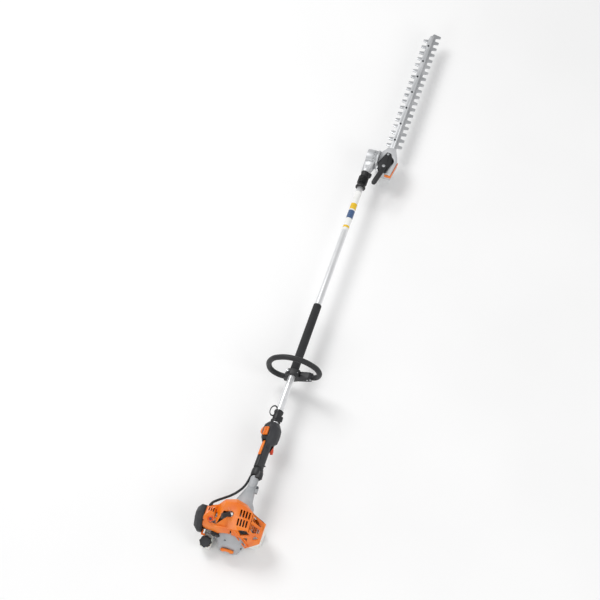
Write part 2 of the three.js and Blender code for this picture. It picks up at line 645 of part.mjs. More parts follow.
const GUARD_GAP = 1.6; // between the shroud and the guard

function shroudCavity(points, share) {
  return hull(lowered(drawnIn(points, share), 60));
}

function slot(x, y, length, width) {
  return box(x - width / 2, x + width / 2, y - length / 2, y + length / 2, 20, 130);
}

// Openings in the guard's sloping face, seen from above
const GUARD_WINDOWS = [
  [[57, 4], [55, -11], [85, -14], [91, 5], [66, 6]],
  [[54.5, -21], [54, -38], [64, -44], [84, -33], [85, -23]],
  [[67, -50], [68, -57], [74, -60], [84, -50], [83, -42], [74, -43]]];

// Openings in the wall below the top panel
function rearWindows() {
  return prism('y', [[12, 49], [44, 55], [58, 36], [24, 24]], -90, -46).add(
    prism('y', [[32, 13], [49, 17], [48, -4]], -90, -46));
}

const guardFull = hull(GUARD);
const guardSide = prism('y', [[50.5, -120], [50.5, 140], [140, 140], [140, -120]], -120, 120).add(
  hull([[-14, -53, -120], [-14, -120, -120], [60, -120, -120], [60, -37, -120],
    [-14, -53, 44], [-14, -120, 44], [60, -120, 52], [60, -37, 52]]));

function shroud() {
  let body = hull(DOME).add(hull(SIDE_BOX));
  const drum = rod('y', 40.5, 30, 70, 0, 0, 24);
  const cylinderRoom = prism('z', finOutline(FIN_WIDTH / 2 + 2), 0, CYLINDER_TOP + 3);
  body = body.subtract(guardSide);
  body = body.subtract(shroudCavity(DOME, 0.93)).subtract(shroudCavity(SIDE_BOX, 0.9));
  body = body.subtract(drum).subtract(box(-44, 44, 20, 70, -60, 0));
  body = body.subtract(box(-130, -112, -48, 2, -24, 44)); // open to the air filter
  body = body.subtract(box(-100, -60, -46, 6, -40, 40)); // from the side box into the dome
  body = body.subtract(box(40, 60, -34, 38, -14, 50)); // the muffler's way out
  body = body.subtract(plugRoom).subtract(cylinderRoom).subtract(cable(CABLE_RADIUS + RUN_GAP));
  body = body.subtract(prism('z', [[-70, -50], [-29, -50], [-37, -6], [-52, -6]], 30, 130));
  for (let row = 0; row < 2; row += 1) {
    for (let i = 0; i < 4; i += 1) {
      body = body.subtract(slot(10 + i * 10.3 - row * 3, -1.5 - row * 27, 21, 5.6));
    }
  }
  for (let i = 0; i < 4; i += 1) {
    body = body.subtract(slot(-106 + i * 8, -6, 14, 3.6));
  }
  body = body.subtract(rearWindows());
  body = body.subtract(rod('y', PRIMER.radius + 1, PRIMER.y - 1, PRIMER.y + 6, PRIMER.x, PRIMER.z, 24));
  const carburetorRoom = box(-80, -66, INLET_Y - 14, CYLINDER_Y + 9, portHeight - 24,
    portHeight + 4);
  body = body.subtract(rod('z', 7.5, 20, 130, -90, -41, 14)).subtract(carburetorRoom);
  return largestPiece(body.subtract(hull(starterRoom())));
}

// Keeps the main piece of a solid, and drops slivers that the cuts left loose.
function largestPiece(body) {
  return body.decompose().reduce((a, b) => (a.volume() > b.volume() ? a : b));
}

function muffleGuard() {
  const cut = GUARD_GAP;
  const keep = prism('y', [[50.5 + cut, -120], [50.5 + cut, 140], [140, 140], [140, -120]],
    -120, 120).add(
    hull([[-14, -53 - cut, -120], [-14, -120, -120], [60, -120, -120], [60, -37 - cut, -120],
      [-14, -53 - cut, 44], [-14, -120, 44], [60, -120, 52], [60, -37 - cut, 52]]));
  let body = guardFull.intersect(keep);
  body = body.subtract(shroudCavity(GUARD, 0.9));
  body = body.subtract(hull(starterRoom()));
  for (const outline of GUARD_WINDOWS) {
    body = body.subtract(prism('z', outline, 5, 130));
  }
  return largestPiece(body.subtract(rearWindows()));
}

// The space that the starter housing takes, with a little room round it.
function starterRoom() {
  const outline = [[-74, -62], [-72, -23], [-51, 8], [-24, 18], [9, 16], [36, 4], [44, -24],
    [38, -76], [28, -92], [-58, -92]];
  return outline.map(([x, z]) => [x, STARTER_FRONT + 1, z]).concat(
    outline.map(([x, z]) => [x, STARTER_REAR - 2, z]));
}

add('throttle_cable', cable(CABLE_RADIUS), RUBBER, poleLine);
add('engine_shroud', shroud(), ORANGE_PLASTIC, poleLine);
add('muffler_guard', muffleGuard(), ORANGE_PLASTIC, poleLine);

// ---------------------------------------------------------------------------------------------
// Fuel tank and the foot it stands on; heights here are above the ground
// ---------------------------------------------------------------------------------------------
const FOOT_HEIGHT = 6;
const TANK_TOP = 50;
const fillerFrame = new THREE.Matrix4().compose(
  new THREE.Vector3(-97, -80, 38),
  new THREE.Quaternion().setFromUnitVectors(
    new THREE.Vector3(0, 0, 1), new THREE.Vector3(-0.08, -0.55, 0.83).normalize()),
  new THREE.Vector3(1, 1, 1));
const FILLER_RADIUS = 15;
const CAP_RADIUS = 21;
const FILLER_LENGTH = 8;

function tankPoints(inset) {
  const low = FOOT_HEIGHT + FIT_GAP + inset;
  const high = TANK_TOP - inset;
  const outline = [[-112, -20], [-104, 46], [60, 48], [90, 20], [88, -30], [72, -48], [-60, -50],
    [-112, -50]];
  return outline.map(([x, y]) => [x - Math.sign(x) * inset, y - Math.sign(y) * inset, low]).concat(
    outline.map(([x, y]) => [(x - Math.sign(x) * inset) * 0.97, (y - Math.sign(y) * inset) * 0.97,
      high]));
}

function fillerPoints(inset) {
  const low = FOOT_HEIGHT + FIT_GAP + inset;
  return [[-114 + inset, -96 + inset, low], [-82 - inset, -96 + inset, low],
    [-114 + inset, -30, low], [-76 - inset, -30, low],
    [-118 + inset, -100 + inset, 24], [-80 - inset, -100 + inset, 24],
    [-112 + inset, -30, TANK_TOP - inset], [-76 - inset, -30, TANK_TOP - inset],
    [-114 + inset, -70, 46 - inset], [-78 - inset, -70, 46 - inset]];
}

function fuelTank() {
  const neck = moved(rod('z', FILLER_RADIUS, -14, FILLER_LENGTH, 0, 0, 16), fillerFrame);
  const throat = moved(rod('z', FILLER_RADIUS - 3, -24, FILLER_LENGTH + 1, 0, 0, 12), fillerFrame);
  const outside = hull(tankPoints(0)).add(hull(fillerPoints(0))).add(neck);
  const crankRoom = rod('y', CASE_RADIUS + 10, -60, 60, 0, AXIS_HEIGHT, 24);
  return outside.subtract(hull(tankPoints(3))).subtract(hull(fillerPoints(3))).subtract(throat)
    .subtract(crankRoom.intersect(box(-200, 200, -80, 80, 60, 90)));
}

function fuelCap() {
  let cap = rod('z', CAP_RADIUS - 2, 2.5, 20, 0, 0, 24);
  const ribs = 8;
  for (let i = 0; i < ribs; i += 1) {
    const turn = new THREE.Matrix4().makeRotationZ((2 * Math.PI * i) / ribs);
    cap = cap.add(moved(box(CAP_RADIUS - 5, CAP_RADIUS, -3.5, 3.5, 2.5, 19), turn));
  }
  cap = cap.subtract(rod('z', FILLER_RADIUS + RUN_GAP, 1, FILLER_LENGTH + RUN_GAP, 0, 0, 16));
  return moved(cap, fillerFrame);
}

function tankFoot() {
  const outline = [[-100, -40], [-92, 36], [54, 38], [78, 14], [76, -24], [62, -40]];
  return prism('z', outline, 0, FOOT_HEIGHT);
}

add('fuel_tank', fuelTank(), TANK_PLASTIC);
add('fuel_cap', fuelCap(), BLACK_PLASTIC);
add('tank_foot', tankFoot(), GREY_PLASTIC);

// ---------------------------------------------------------------------------------------------
// Pole, drive shaft and what is clamped on the pole
// ---------------------------------------------------------------------------------------------
const POLE_START = NECK_END - POLE_GRASP;
const POLE_END = HEAD_START + POLE_GRASP - 10;
const SHAFT_START = DRUM_HUB_END - 20;
const SHAFT_END = PIVOT_Y - 24;
const POLE_BORE = POLE_RADIUS + FIT_GAP;

add('drive_tube', ring('y', POLE_RADIUS - POLE_WALL, POLE_RADIUS, POLE_START, POLE_END, 0, 0, 24),
  TUBE_ALUMINIUM, poleLine);
add('drive_shaft', rod('y', SHAFT_RADIUS, SHAFT_START, SHAFT_END, 0, 0, 12), DARK_STEEL, poleLine);
add('shaft_bushing', ring('y', SHAFT_RADIUS + RUN_GAP, POLE_RADIUS - POLE_WALL - FIT_GAP,
  LOOP_PLANE - 15, LOOP_PLANE + 15, 0, 0, 16), RUBBER, poleLine);
add('foam_grip', ring('y', POLE_BORE, POLE_BORE + FOAM_WALL, FOAM_START, FOAM_START + FOAM_LENGTH,
  0, 0, 24), FOAM, poleLine);

// Control handle, in its rolled frame
const GRIP_START = HANDLE_START + COLLAR_LENGTH;
const BULGE_START = GRIP_START + GRIP_LENGTH;
const HANDLE_END = BULGE_START + HEAD_LENGTH;
const SHELL_SPLIT = 9;

function handleOutside() {
  const grip = (y) => ({ y, outline: circle(GRIP_HALF_WIDTH, 0, 2, 20, GRIP_HALF_HEIGHT) });
  const bulge = (y, width, height, shift) => (
    { y, outline: circle(width, 0, shift, 20, height) });
  return loft([
    grip(GRIP_START + FIT_GAP), grip(BULGE_START - 8), bulge(BULGE_START + 12, 28, 36, -3),
    bulge(BULGE_START + 38, 31, 39, -1), bulge(BULGE_START + 60, 30, 37, 0),
    bulge(HANDLE_END, 21, 24, 0)]);
}

const TRIGGER_PIVOT = { y: BULGE_START + 12, z: -POLE_RADIUS - 7.3 };
const LOCK_PIVOT = { y: BULGE_START - 4, z: POLE_RADIUS + 5.3 };
const WHEEL = { x: -16, y: BULGE_START + 42, z: POLE_RADIUS + 6.3 };
const BUTTON = { x: 5, y: BULGE_START + 30, top: 39.5, length: 32, width: 19 };

function handleCuts() {
  const halfTrigger = TRIGGER_WIDTH / 2 + RUN_GAP;
  let cuts = rod('y', POLE_BORE, GRIP_START - 1, HANDLE_END + 1, 0, 0, 24);
  cuts = cuts.add(box(-halfTrigger, halfTrigger, BULGE_START - 40, BULGE_START + 20, -50, -14.5));
  cuts = cuts.add(box(-5.5, 5.5, BULGE_START - 64, BULGE_START + 2, 13.6, 40));
  cuts = cuts.add(rod('z', WHEEL_RADIUS + 1, WHEEL.z - WHEEL_WIDTH / 2 - RUN_GAP,
    WHEEL.z + WHEEL_WIDTH / 2 + RUN_GAP, WHEEL.x, WHEEL.y, 24));
  const reach = BUTTON.length / 2 + RUN_GAP;
  const half = BUTTON.width / 2 + RUN_GAP;
  return cuts.add(box(BUTTON.x - half, BUTTON.x + half, BUTTON.y - reach, BUTTON.y + reach, 27.5, 60));
}

const shells = handleOutside().subtract(handleCuts());
const leftSide = box(-60, SHELL_SPLIT - 0.2, GRIP_START - 5, HANDLE_END + 5, -60, 60);
const rightSide = box(SHELL_SPLIT + 0.2, 60, GRIP_START - 5, HANDLE_END + 5, -60, 60);

function throttleTrigger() {
  const { y, z } = TRIGGER_PIVOT;
  const outline = [[y + 5, z - 3], [y + 5, z + 3], [y, z + 5], [y - 14, z + 1], [y - 30, z - 4],
    [y - 42, z - 15], [y - 38, z - 21], [y - 26, z - 19], [y - 10, z - 12]];
  return prism('x', outline, -TRIGGER_WIDTH / 2, TRIGGER_WIDTH / 2);
}

function triggerLock() {
  const { y, z } = LOCK_PIVOT;
  const outline = [[y + 4, z - 3.5], [y + 4, z + 1], [y - 4, z + 5], [y - 30, z + 7],
    [y - 55, z + 7], [y - 58, z + 4], [y - 54, z + 1], [y - 30, z + 0.5]];
  return prism('x', outline, -5, 5);
}

function speedWheel() {
  return ring('z', 4, WHEEL_RADIUS, WHEEL.z - WHEEL_WIDTH / 2, WHEEL.z + WHEEL_WIDTH / 2, WHEEL.x,
    WHEEL.y, 24);
}

function stopButton() {
  const { x, y, top, length, width } = BUTTON;
  return box(x - width / 2, x + width / 2, y - length / 2, y + length / 2, 32, top).subtract(
    rod('x', 40, x - 20, x + 20, y, top + 39, 32));
}

function handleCollar() {
  const outline = (radius) => circle(radius, 0, 0, 20);
  let body = loft([{ y: HANDLE_START, outline: outline(19) }, { y: HANDLE_START + 6, outline: outline(21) },
    { y: GRIP_START - 10, outline: outline(21) }, { y: GRIP_START, outline: outline(18.5) }]);
  body = body.add(hull([
    [-26, HANDLE_START, -16], [-26, HANDLE_START, 4], [-25, HANDLE_START + 20, -14],
    [-25, HANDLE_START + 20, 2], [-10, HANDLE_START, -20], [-10, HANDLE_START, 14],
    [-10, HANDLE_START + 28, -12], [-10, HANDLE_START + 28, 14]]));
  body = body.add(hull([
    [25, HANDLE_START - 8, -10], [25, HANDLE_START - 8, 8], [25, HANDLE_START + 16, -8],
    [25, HANDLE_START + 16, 8], [10, HANDLE_START - 10, -14], [10, HANDLE_START - 10, 14],
    [10, HANDLE_START + 26, -12], [10, HANDLE_START + 26, 14]]));
  return body.subtract(rod('y', NECK_RADIUS + RUN_GAP, HANDLE_START - 20, HANDLE_START + 0.5, 0, 0, 20))
    .subtract(rod('y', POLE_BORE, HANDLE_START - 20, GRIP_START + 1, 0, 0, 24));
}

add('handle_left_shell', shells.intersect(leftSide), BLACK_PLASTIC, handleFrame);
add('handle_right_shell', shells.intersect(rightSide), DARK_PLASTIC, handleFrame);
add('throttle_trigger', throttleTrigger(), RED_PLASTIC, handleFrame);
add('trigger_lock', triggerLock(), ORANGE_PLASTIC, handleFrame);
add('stop_button', stopButton(), ORANGE_PLASTIC, handleFrame);
add('speed_wheel', speedWheel(), ORANGE_PLASTIC, handleFrame);
add('handle_collar', handleCollar(), BLACK_PLASTIC, handleFrame);

// Carrying ring
const HANGER_START = HANDLE_END + HANGER_GAP;

function hanger() {
  const end = HANGER_START + HANGER_LENGTH;
  const body = turned([
    [POLE_BORE, HANGER_START], [18.5, HANGER_START], [19, HANGER_START + 6],
    [15.8, HANGER_START + 12], [15.8, end - 14], [17.5, end - 10], [17.5, end - 2], [POLE_BORE, end],
    [POLE_BORE, HANGER_START]], 14);
  const middle = HANGER_START + HANGER_LENGTH / 2 + 17;
  const eye = prism('z', circle(15, -19, middle, 14, 23), 4, 9).subtract(
    prism('z', circle(10.5, -20, middle, 14, 18.5), 3, 10));
  const lug = box(12, 22, middle - 32, middle - 16, -6, 8);
  return body.add(eye.subtract(rod('y', 13.5, HANGER_START - 9, end + 19, 0, 0, 14))).add(lug).subtract(
    rod('y', POLE_BORE, HANGER_START - 1, end + 20, 0, 0, 24));
}

add('hanger', hanger(), BLACK_PLASTIC, poleLine);

// Loop handle: a bent tube whose two ends are held in a two-part clamp
const LOOP_PATH = [
  [-17, -33], [-34, -36], [-58, -33], [-82, -16], [-92, 14], [-85, 58], [-55, 95], [8, 117],
  [68, 102], [99, 66], [96, 28], [80, 12], [62, 8]];
const loopPoints = LOOP_PATH.map(([x, z]) => [x, LOOP_PLANE, z]);
const LOOP_SIDES = 10;
const LOOP_STEPS = 28;
const clampRear = LOOP_PLANE - CLAMP_WIDTH / 2;
const clampFront = LOOP_PLANE + CLAMP_WIDTH / 2;
const CLAMP_BOLTS = [-18, 18]; // across the pole

function loopHandle() {
  return sweep(loopPoints, LOOP_TUBE_RADIUS, LOOP_SIDES, LOOP_STEPS);
}

function clampLower() {
  const body = prism('y', [[-25, -10], [-34, -26], [-31, -47], [-8, -48], [24, -25], [60, -8],
    [76, 0], [76, 20], [60, 22], [26, 9.4]], clampRear, clampFront);
  const sockets = sweep(loopPoints, LOOP_TUBE_RADIUS + FIT_GAP, LOOP_SIDES, LOOP_STEPS);
  return body.subtract(sockets).subtract(rod('y', POLE_BORE, clampRear - 1, clampFront + 1, 0, 0, 24))
    .subtract(clampBoltHoles());
}

function clampUpper() {
  const body = prism('y', [[-25, -9.2], [-24, 6], [-10, 19], [8, 21], [24, 19], [26, 10.4]],
    clampRear, clampFront);
  return body.subtract(rod('y', POLE_BORE, clampRear - 1, clampFront + 1, 0, 0, 24))
    .subtract(clampBoltHoles());
}

function clampBoltHoles() {
  let holes = null;
  for (const x of CLAMP_BOLTS) {
    const hole = rod('z', 2.8, -24, 40, x, LOOP_PLANE, 10);
    holes = holes ? holes.add(hole) : hole;
  }
  return holes;
}

add('loop_handle', loopHandle(), RUBBER, poleLine);
add('loop_clamp_lower', clampLower(), BLACK_PLASTIC, poleLine);
add('loop_clamp_upper', clampUpper(), BLACK_PLASTIC, poleLine);

// ---------------------------------------------------------------------------------------------
// Cutter head
// ---------------------------------------------------------------------------------------------
const SLEEVE_START = HEAD_START - SLEEVE_LENGTH;

function slidingSleeve() {
  const end = HEAD_START - FIT_GAP;
  const body = turned([
    [POLE_BORE, SLEEVE_START], [20, SLEEVE_START], [20.5, SLEEVE_START + 5], [16.5, SLEEVE_START + 14],
    [15.6, SLEEVE_START + 40], [16.6, end - 6], [17.5, end], [POLE_BORE, end],
    [POLE_BORE, SLEEVE_START]], 14);
  const nose = hull([
    [8, end - 22, -8], [8, end - 22, 8], [8, end, -12], [8, end, 12], [24, end - 14, -6],
    [24, end - 14, 6], [26, end, -8], [26, end, 8]]);
  return body.add(nose).subtract(rod('y', POLE_BORE, SLEEVE_START - 1, end + 1, 0, 0, 24));
}

const HOUSING_LEFT = -16;
const HOUSING_RIGHT = 24;
const GEAR_ROOM_RADIUS = 21;

function gearHousing() {
  let body = rod('y', 19.5, HEAD_START + FIT_GAP, PIVOT_Y - 20, 0, 0, 20);
  body = body.add(hull(
    circle(19.5, 0, 0, 16).map(([x, z]) => [x, HEAD_START + 12, z]).concat(
      [[HOUSING_LEFT, PIVOT_Y - 30, 24], [HOUSING_RIGHT, PIVOT_Y - 30, 24],
        [HOUSING_LEFT, PIVOT_Y - 30, -24], [HOUSING_RIGHT, PIVOT_Y - 30, -24]])));
  body = body.add(rod('x', DRUM_HOUSING_RADIUS, HOUSING_LEFT, HOUSING_RIGHT, PIVOT_Y, 0, 24));
  body = body.subtract(rod('x', GEAR_ROOM_RADIUS, HOUSING_LEFT + 4, HOUSING_RIGHT + 1, PIVOT_Y, 0, 24));
  body = body.subtract(rod('y', 13, POLE_END - 2, PIVOT_Y, 0, 0, 20));
  return body.subtract(rod('y', POLE_BORE, HEAD_START - 1, POLE_END + FIT_GAP, 0, 0, 24));
}

// A toothed cone about +Y with its apex ahead: radius falls from large to small.
function bevel(large, small, from, to, teeth) {
  let body = turned([[0, from], [large, from], [small, to], [0, to]], 2 * teeth);
  for (let i = 0; i < teeth; i += 1) {
    const angle = (2 * Math.PI * i) / teeth;
    const groove = hull([
      [large + 1, from - 1, -0.9], [large + 1, from - 1, 0.9], [large - 1, from - 1, 0],
      [small + 1, to + 1, -0.6], [small + 1, to + 1, 0.6], [small - 1, to + 1, 0]]);
    body = body.subtract(moved(groove, new THREE.Matrix4().makeRotationY(angle)));
  }
  return body;
}

const PINION_TEETH = 6;
const GEAR_TEETH = 8;
const CRANK_TEETH = 10;
const TOOTH_CLEARANCE = 0.6;

function bevelPinion() {
  const face = bevel(9 - TOOTH_CLEARANCE, 5.4, PIVOT_Y - 14, PIVOT_Y - 8.6, PINION_TEETH);
  const hub = rod('y', 8, PIVOT_Y - 34, PIVOT_Y - 13.9, 0, 0, 16);
  return hub.add(face).subtract(
    rod('y', SHAFT_RADIUS + FIT_GAP, PIVOT_Y - 35, SHAFT_END + FIT_GAP, 0, 0, 12));
}

// The swivel shaft: a bevel gear at the pole, and a small bevel at the blades.
function swivelShaft() {
  const turnToX = new THREE.Matrix4().makeRotationZ(Math.PI / 2);
  const toPivot = new THREE.Matrix4().makeTranslation(0, PIVOT_Y, 0);
  const gear = moved(bevel(12, 7.2, -9, -5.4, GEAR_TEETH), turnToX);
  const shaft = rod('x', 5, 8.8, CUTTER_X - 19.8, 0, 0, 14);
  const collar = rod('x', 11, 9, 15, 0, 0, 16);
  const smallBevel = moved(bevel(7.4, 4.6, -20, -12.4, PINION_TEETH),
    new THREE.Matrix4().makeRotationZ(-Math.PI / 2));
  const placed = moved(smallBevel, new THREE.Matrix4().makeTranslation(CUTTER_X, 0, 0));
  return moved(gear.add(collar).add(shaft).add(placed), toPivot);
}

add('sliding_sleeve', slidingSleeve(), BLACK_PLASTIC, poleLine);
add('gear_housing', gearHousing(), CAST_ALUMINIUM, poleLine);
add('bevel_pinion', bevelPinion(), DARK_STEEL, poleLine);
add('swivel_shaft', swivelShaft(), DARK_STEEL, poleLine);

// The rest of the head has heights above the ground.
const UPPER_BLADE_Z = LOWER_BLADE_Z + BLADE_THICKNESS + 0.8;
const BAR_Z = UPPER_BLADE_Z + BLADE_THICKNESS + 0.6;
const ECCENTRIC_OFFSET = BLADE_STROKE / 2;
const ECCENTRIC_RADIUS = 7;
const HEAD_LEFT = HOUSING_RIGHT + 9;

function crankGear() {
  const disc = moved(bevel(16, 8.6, LOWER_BLADE_Z + 7.1, LOWER_BLADE_Z + 11.4, CRANK_TEETH),
    new THREE.Matrix4().makeRotationX(Math.PI / 2));
  const middle = LOWER_BLADE_Z + BLADE_THICKNESS + 0.4;
  const upper = rod('z', ECCENTRIC_RADIUS, middle, LOWER_BLADE_Z + 7.2, 0, ECCENTRIC_OFFSET, 18);
  const lower = rod('z', ECCENTRIC_RADIUS, LOWER_BLADE_Z - 0.4, middle, 0, -ECCENTRIC_OFFSET, 18);
  const stub = rod('z', 5, LOWER_BLADE_Z - 6, LOWER_BLADE_Z + 7.2, 0, 0, 12);
  return moved(disc.add(upper).add(lower).add(stub),
    new THREE.Matrix4().makeTranslation(CUTTER_X, PIVOT_Y, 0));
}

const LAST_TOOTH = FIRST_TOOTH + (TEETH_LEFT - 1) * TOOTH_PITCH;
const BLADE_TIP = LAST_TOOTH + 14; // where the point starts
const POINT_LENGTH = 30;

const BOLT_X = BAR_X - 1.5;

function bladeBolts() {
  const places = [];
  for (let i = 0; i < BAR_BOLT_COUNT; i += 1) places.push(FIRST_TOOTH + FIRST_BOLT + i * BAR_BOLT_PITCH);
  places.push(BLADE_TIP + 7);
  return places;
}

const TOOTH_ROOT = 17;
const TOOTH_CREST = 10;

// One side's teeth as outline points, from the rear to the tip; side is -1 for left, 1 for right.
function teeth(side, count, first) {
  const points = [];
  for (let i = 0; i < count; i += 1) {
    const y = first + i * TOOTH_PITCH;
    points.push([CUTTER_X + side * BLADE_HALF_WIDTH, y - TOOTH_ROOT / 2]);
    points.push([CUTTER_X + side * (BLADE_HALF_WIDTH + TOOTH_LENGTH), y - TOOTH_CREST / 2]);
    points.push([CUTTER_X + side * (BLADE_HALF_WIDTH + TOOTH_LENGTH), y + TOOTH_CREST / 2]);
    points.push([CUTTER_X + side * BLADE_HALF_WIDTH, y + TOOTH_ROOT / 2]);
  }
  return points;
}

const YOKE_WIDTH = ECCENTRIC_OFFSET + ECCENTRIC_RADIUS + RUN_GAP;
const YOKE_LENGTH = YOKE_WIDTH + ECCENTRIC_OFFSET;
const YOKE_WALL = 4.5;

function blade(z) {
  const rear = PIVOT_Y - YOKE_LENGTH - YOKE_WALL;
  const front = PIVOT_Y + YOKE_LENGTH + YOKE_WALL;
  const half = YOKE_WIDTH + YOKE_WALL;
  const right = teeth(1, TEETH_RIGHT, FIRST_TOOTH);
  const left = teeth(-1, TEETH_LEFT, FIRST_TOOTH);
  const neck = BLADE_HALF_WIDTH - 3;
  const outline = [
    [CUTTER_X - half, rear + 3], [CUTTER_X - half + 3, rear], [CUTTER_X + half - 3, rear],
    [CUTTER_X + half, rear + 3], [CUTTER_X + half, front - 3], [CUTTER_X + half - 3, front],
    [CUTTER_X + neck, front], [CUTTER_X + neck, FIRST_TOOTH - 14], ...right,
    [CUTTER_X + 10, BLADE_TIP + POINT_LENGTH], [CUTTER_X, BLADE_TIP + POINT_LENGTH],
    [CUTTER_X - BLADE_HALF_WIDTH + 2, BLADE_TIP], ...left.reverse(),
    [CUTTER_X - neck, FIRST_TOOTH - 14], [CUTTER_X - neck, front], [CUTTER_X - half + 3, front],
    [CUTTER_X - half, front - 3]];
  let body = prism('z', outline, z, z + BLADE_THICKNESS);
  body = body.subtract(box(CUTTER_X - YOKE_WIDTH, CUTTER_X + YOKE_WIDTH, PIVOT_Y - YOKE_LENGTH,
    PIVOT_Y + YOKE_LENGTH, z - 1, z + BLADE_THICKNESS + 1));
  const slotEnd = ECCENTRIC_OFFSET + RUN_GAP;
  for (const y of bladeBolts()) {
    const outlineOf = hull([z - 1, z + BLADE_THICKNESS + 1].flatMap((level) => [
      ...circle(BOLT_RADIUS + RUN_GAP, BOLT_X, y - slotEnd, 6),
      ...circle(BOLT_RADIUS + RUN_GAP, BOLT_X, y + slotEnd, 6)].map(([a, b]) => [a, b, level])));
    body = body.subtract(outlineOf);
  }
  return body;
}

function bladeBar() {
  const rear = FIRST_TOOTH - 32;
  const half = BAR_WIDTH / 2;
  let body = prism('z', [
    [BAR_X - half, rear], [BAR_X + half, rear], [BAR_X + half, BLADE_TIP],
    [BAR_X + 7, BLADE_TIP + POINT_LENGTH / 2], [BAR_X - 5, BLADE_TIP + POINT_LENGTH / 2],
    [BAR_X - half, BLADE_TIP - 6]], BAR_Z, BAR_Z + BAR_THICKNESS);
  for (const y of bladeBolts()) {
    const shank = rod('z', BOLT_RADIUS, LOWER_BLADE_Z - 4, BAR_Z + 1, BOLT_X, y, 6);
    const nut = rod('z', 5.5, LOWER_BLADE_Z - 4, LOWER_BLADE_Z - 0.6, BOLT_X, y, 6);
    const head = rod('z', 5, BAR_Z + 1, BAR_Z + BAR_THICKNESS + 1.6, BOLT_X, y, 6);
    body = body.add(shank).add(nut).add(head);
  }
  return body;
}

const HEAD_OUTLINE = [[HEAD_LEFT, -46], [HEAD_LEFT + 8, -62], [97, -66], [108, 4], [101, 26],
  [86, 66], [54, 66], [45, 50], [HEAD_LEFT, 34]].map(([x, along]) => [x, PIVOT_Y + along]);
const HEAD_BOTTOM = AXIS_HEIGHT - 26;

function bladeHousing() {
  const half = YOKE_WIDTH + YOKE_WALL + 0.8;
  const reach = YOKE_LENGTH + YOKE_WALL + ECCENTRIC_OFFSET + 0.8;
  let body = prism('z', HEAD_OUTLINE, HEAD_BOTTOM, COVER_Z);
  body = body.subtract(rod('z', 24, LOWER_BLADE_Z - 2, COVER_Z + 1, CUTTER_X, PIVOT_Y, 24));
  body = body.subtract(box(CUTTER_X - half, CUTTER_X + half, PIVOT_Y - reach, PIVOT_Y + reach,
    LOWER_BLADE_Z - 1, UPPER_BLADE_Z + BLADE_THICKNESS + 0.8));
  body = body.subtract(box(CUTTER_X - BLADE_HALF_WIDTH, CUTTER_X + BLADE_HALF_WIDTH,
    PIVOT_Y + 20, PIVOT_Y + 90, LOWER_BLADE_Z - 1, BAR_Z + BAR_THICKNESS + 0.6));
  body = body.subtract(rod('z', 5 + RUN_GAP, HEAD_BOTTOM - 1, LOWER_BLADE_Z, CUTTER_X, PIVOT_Y, 14));
  body = body.subtract(rod('x', 8.6, HEAD_LEFT - 1, CUTTER_X, PIVOT_Y, AXIS_HEIGHT, 16));
  return body.add(detentPlate());
}

// The housing's left flange, with the row of holes that the sleeve's pin locks in.
function detentPlate() {
  const from = HOUSING_RIGHT + 1;
  const to = HEAD_LEFT + 0.1;
  let body = rod('x', DRUM_HOUSING_RADIUS + 3, from, to, PIVOT_Y, AXIS_HEIGHT, 24);
  body = body.subtract(rod('x', 7, from - 1, to + 1, PIVOT_Y, AXIS_HEIGHT, 16));
  const holes = 7;
  for (let i = 0; i < holes; i += 1) {
    const angle = THREE.MathUtils.degToRad(180 - 60 + i * 20);
    body = body.subtract(rod('x', 3, from - 1, to + 1,
      PIVOT_Y + 31 * Math.cos(angle), AXIS_HEIGHT + 31 * Math.sin(angle), 8));
  }
  return body;
}

function gearCover() {
  const outline = [[57, 36], [75, 34], [89, -11], [77, -64], [44, -61], [HEAD_LEFT + 2, -22]].map(
    ([x, along]) => [x, PIVOT_Y + along]);
  const inner = drawnIn(outline, 0.86);
  const base = COVER_Z + FIT_GAP;
  const body = hull(outline.map(([x, y]) => [x, y, base]).concat(
    outline.map(([x, y]) => [x, y, base + 6]), inner.map(([x, y]) => [x, y, base + 10])));
  return body.subtract(rod('z', 4.5, base - 1, base + 12, 64, PIVOT_Y + 23, 12));
}

function adjustingHandle() {
  const base = COVER_Z + FIT_GAP + 10 + FIT_GAP;
  const outline = [[58, -36], [66, -32], [74, -38], [75, -50], [58, -128], [52, -137], [42, -136],
    [38, -128], [54, -52]].map(([x, along]) => [x, PIVOT_Y + along]);
  const narrow = drawnIn(outline, 0.8);
  return hull(outline.map(([x, y]) => [x, y, base]).concat(
    outline.map(([x, y]) => [x, y, base + 8]), narrow.map(([x, y]) => [x, y, base + 12])));
}

function bumperStrip() {
  const gap = FIT_GAP + 0.1;
  const outline = [[74, -64.4 - gap], [97 + gap, -66 - gap], [108 + gap, 4], [111, 4],
    [99.6, -69], [74, -67.4]].map(
    ([x, along]) => [x, PIVOT_Y + along]);
  return prism('z', outline, COVER_Z - 18, COVER_Z - 4);
}

add('crank_gear', crankGear(), DARK_STEEL);
add('upper_blade', blade(UPPER_BLADE_Z), BLADE_STEEL);
add('lower_blade', blade(LOWER_BLADE_Z), BLADE_STEEL);
add('blade_bar', bladeBar(), BLADE_STEEL);
add('blade_gear_housing', bladeHousing(), CAST_ALUMINIUM);
add('gear_cover', gearCover(), BLACK_PLASTIC);
add('adjusting_handle', adjustingHandle(), BLACK_PLASTIC);
add('bumper_strip', bumperStrip(), ORANGE_PLASTIC);

export default model;
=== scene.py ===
# %% [markdown]
# # Long-reach petrol hedge trimmer
# The CAD parts of the machine are loaded as a fixed frame. Every visible part is then given a
# softer, more detailed skin that rides on the same moving body, and a finish built from nodes.
# Sizes are typed in millimetres and turned to metres, because Blender's unit is the metre.

import json
import math

import bmesh
import bpy
from mathutils import Matrix, Vector

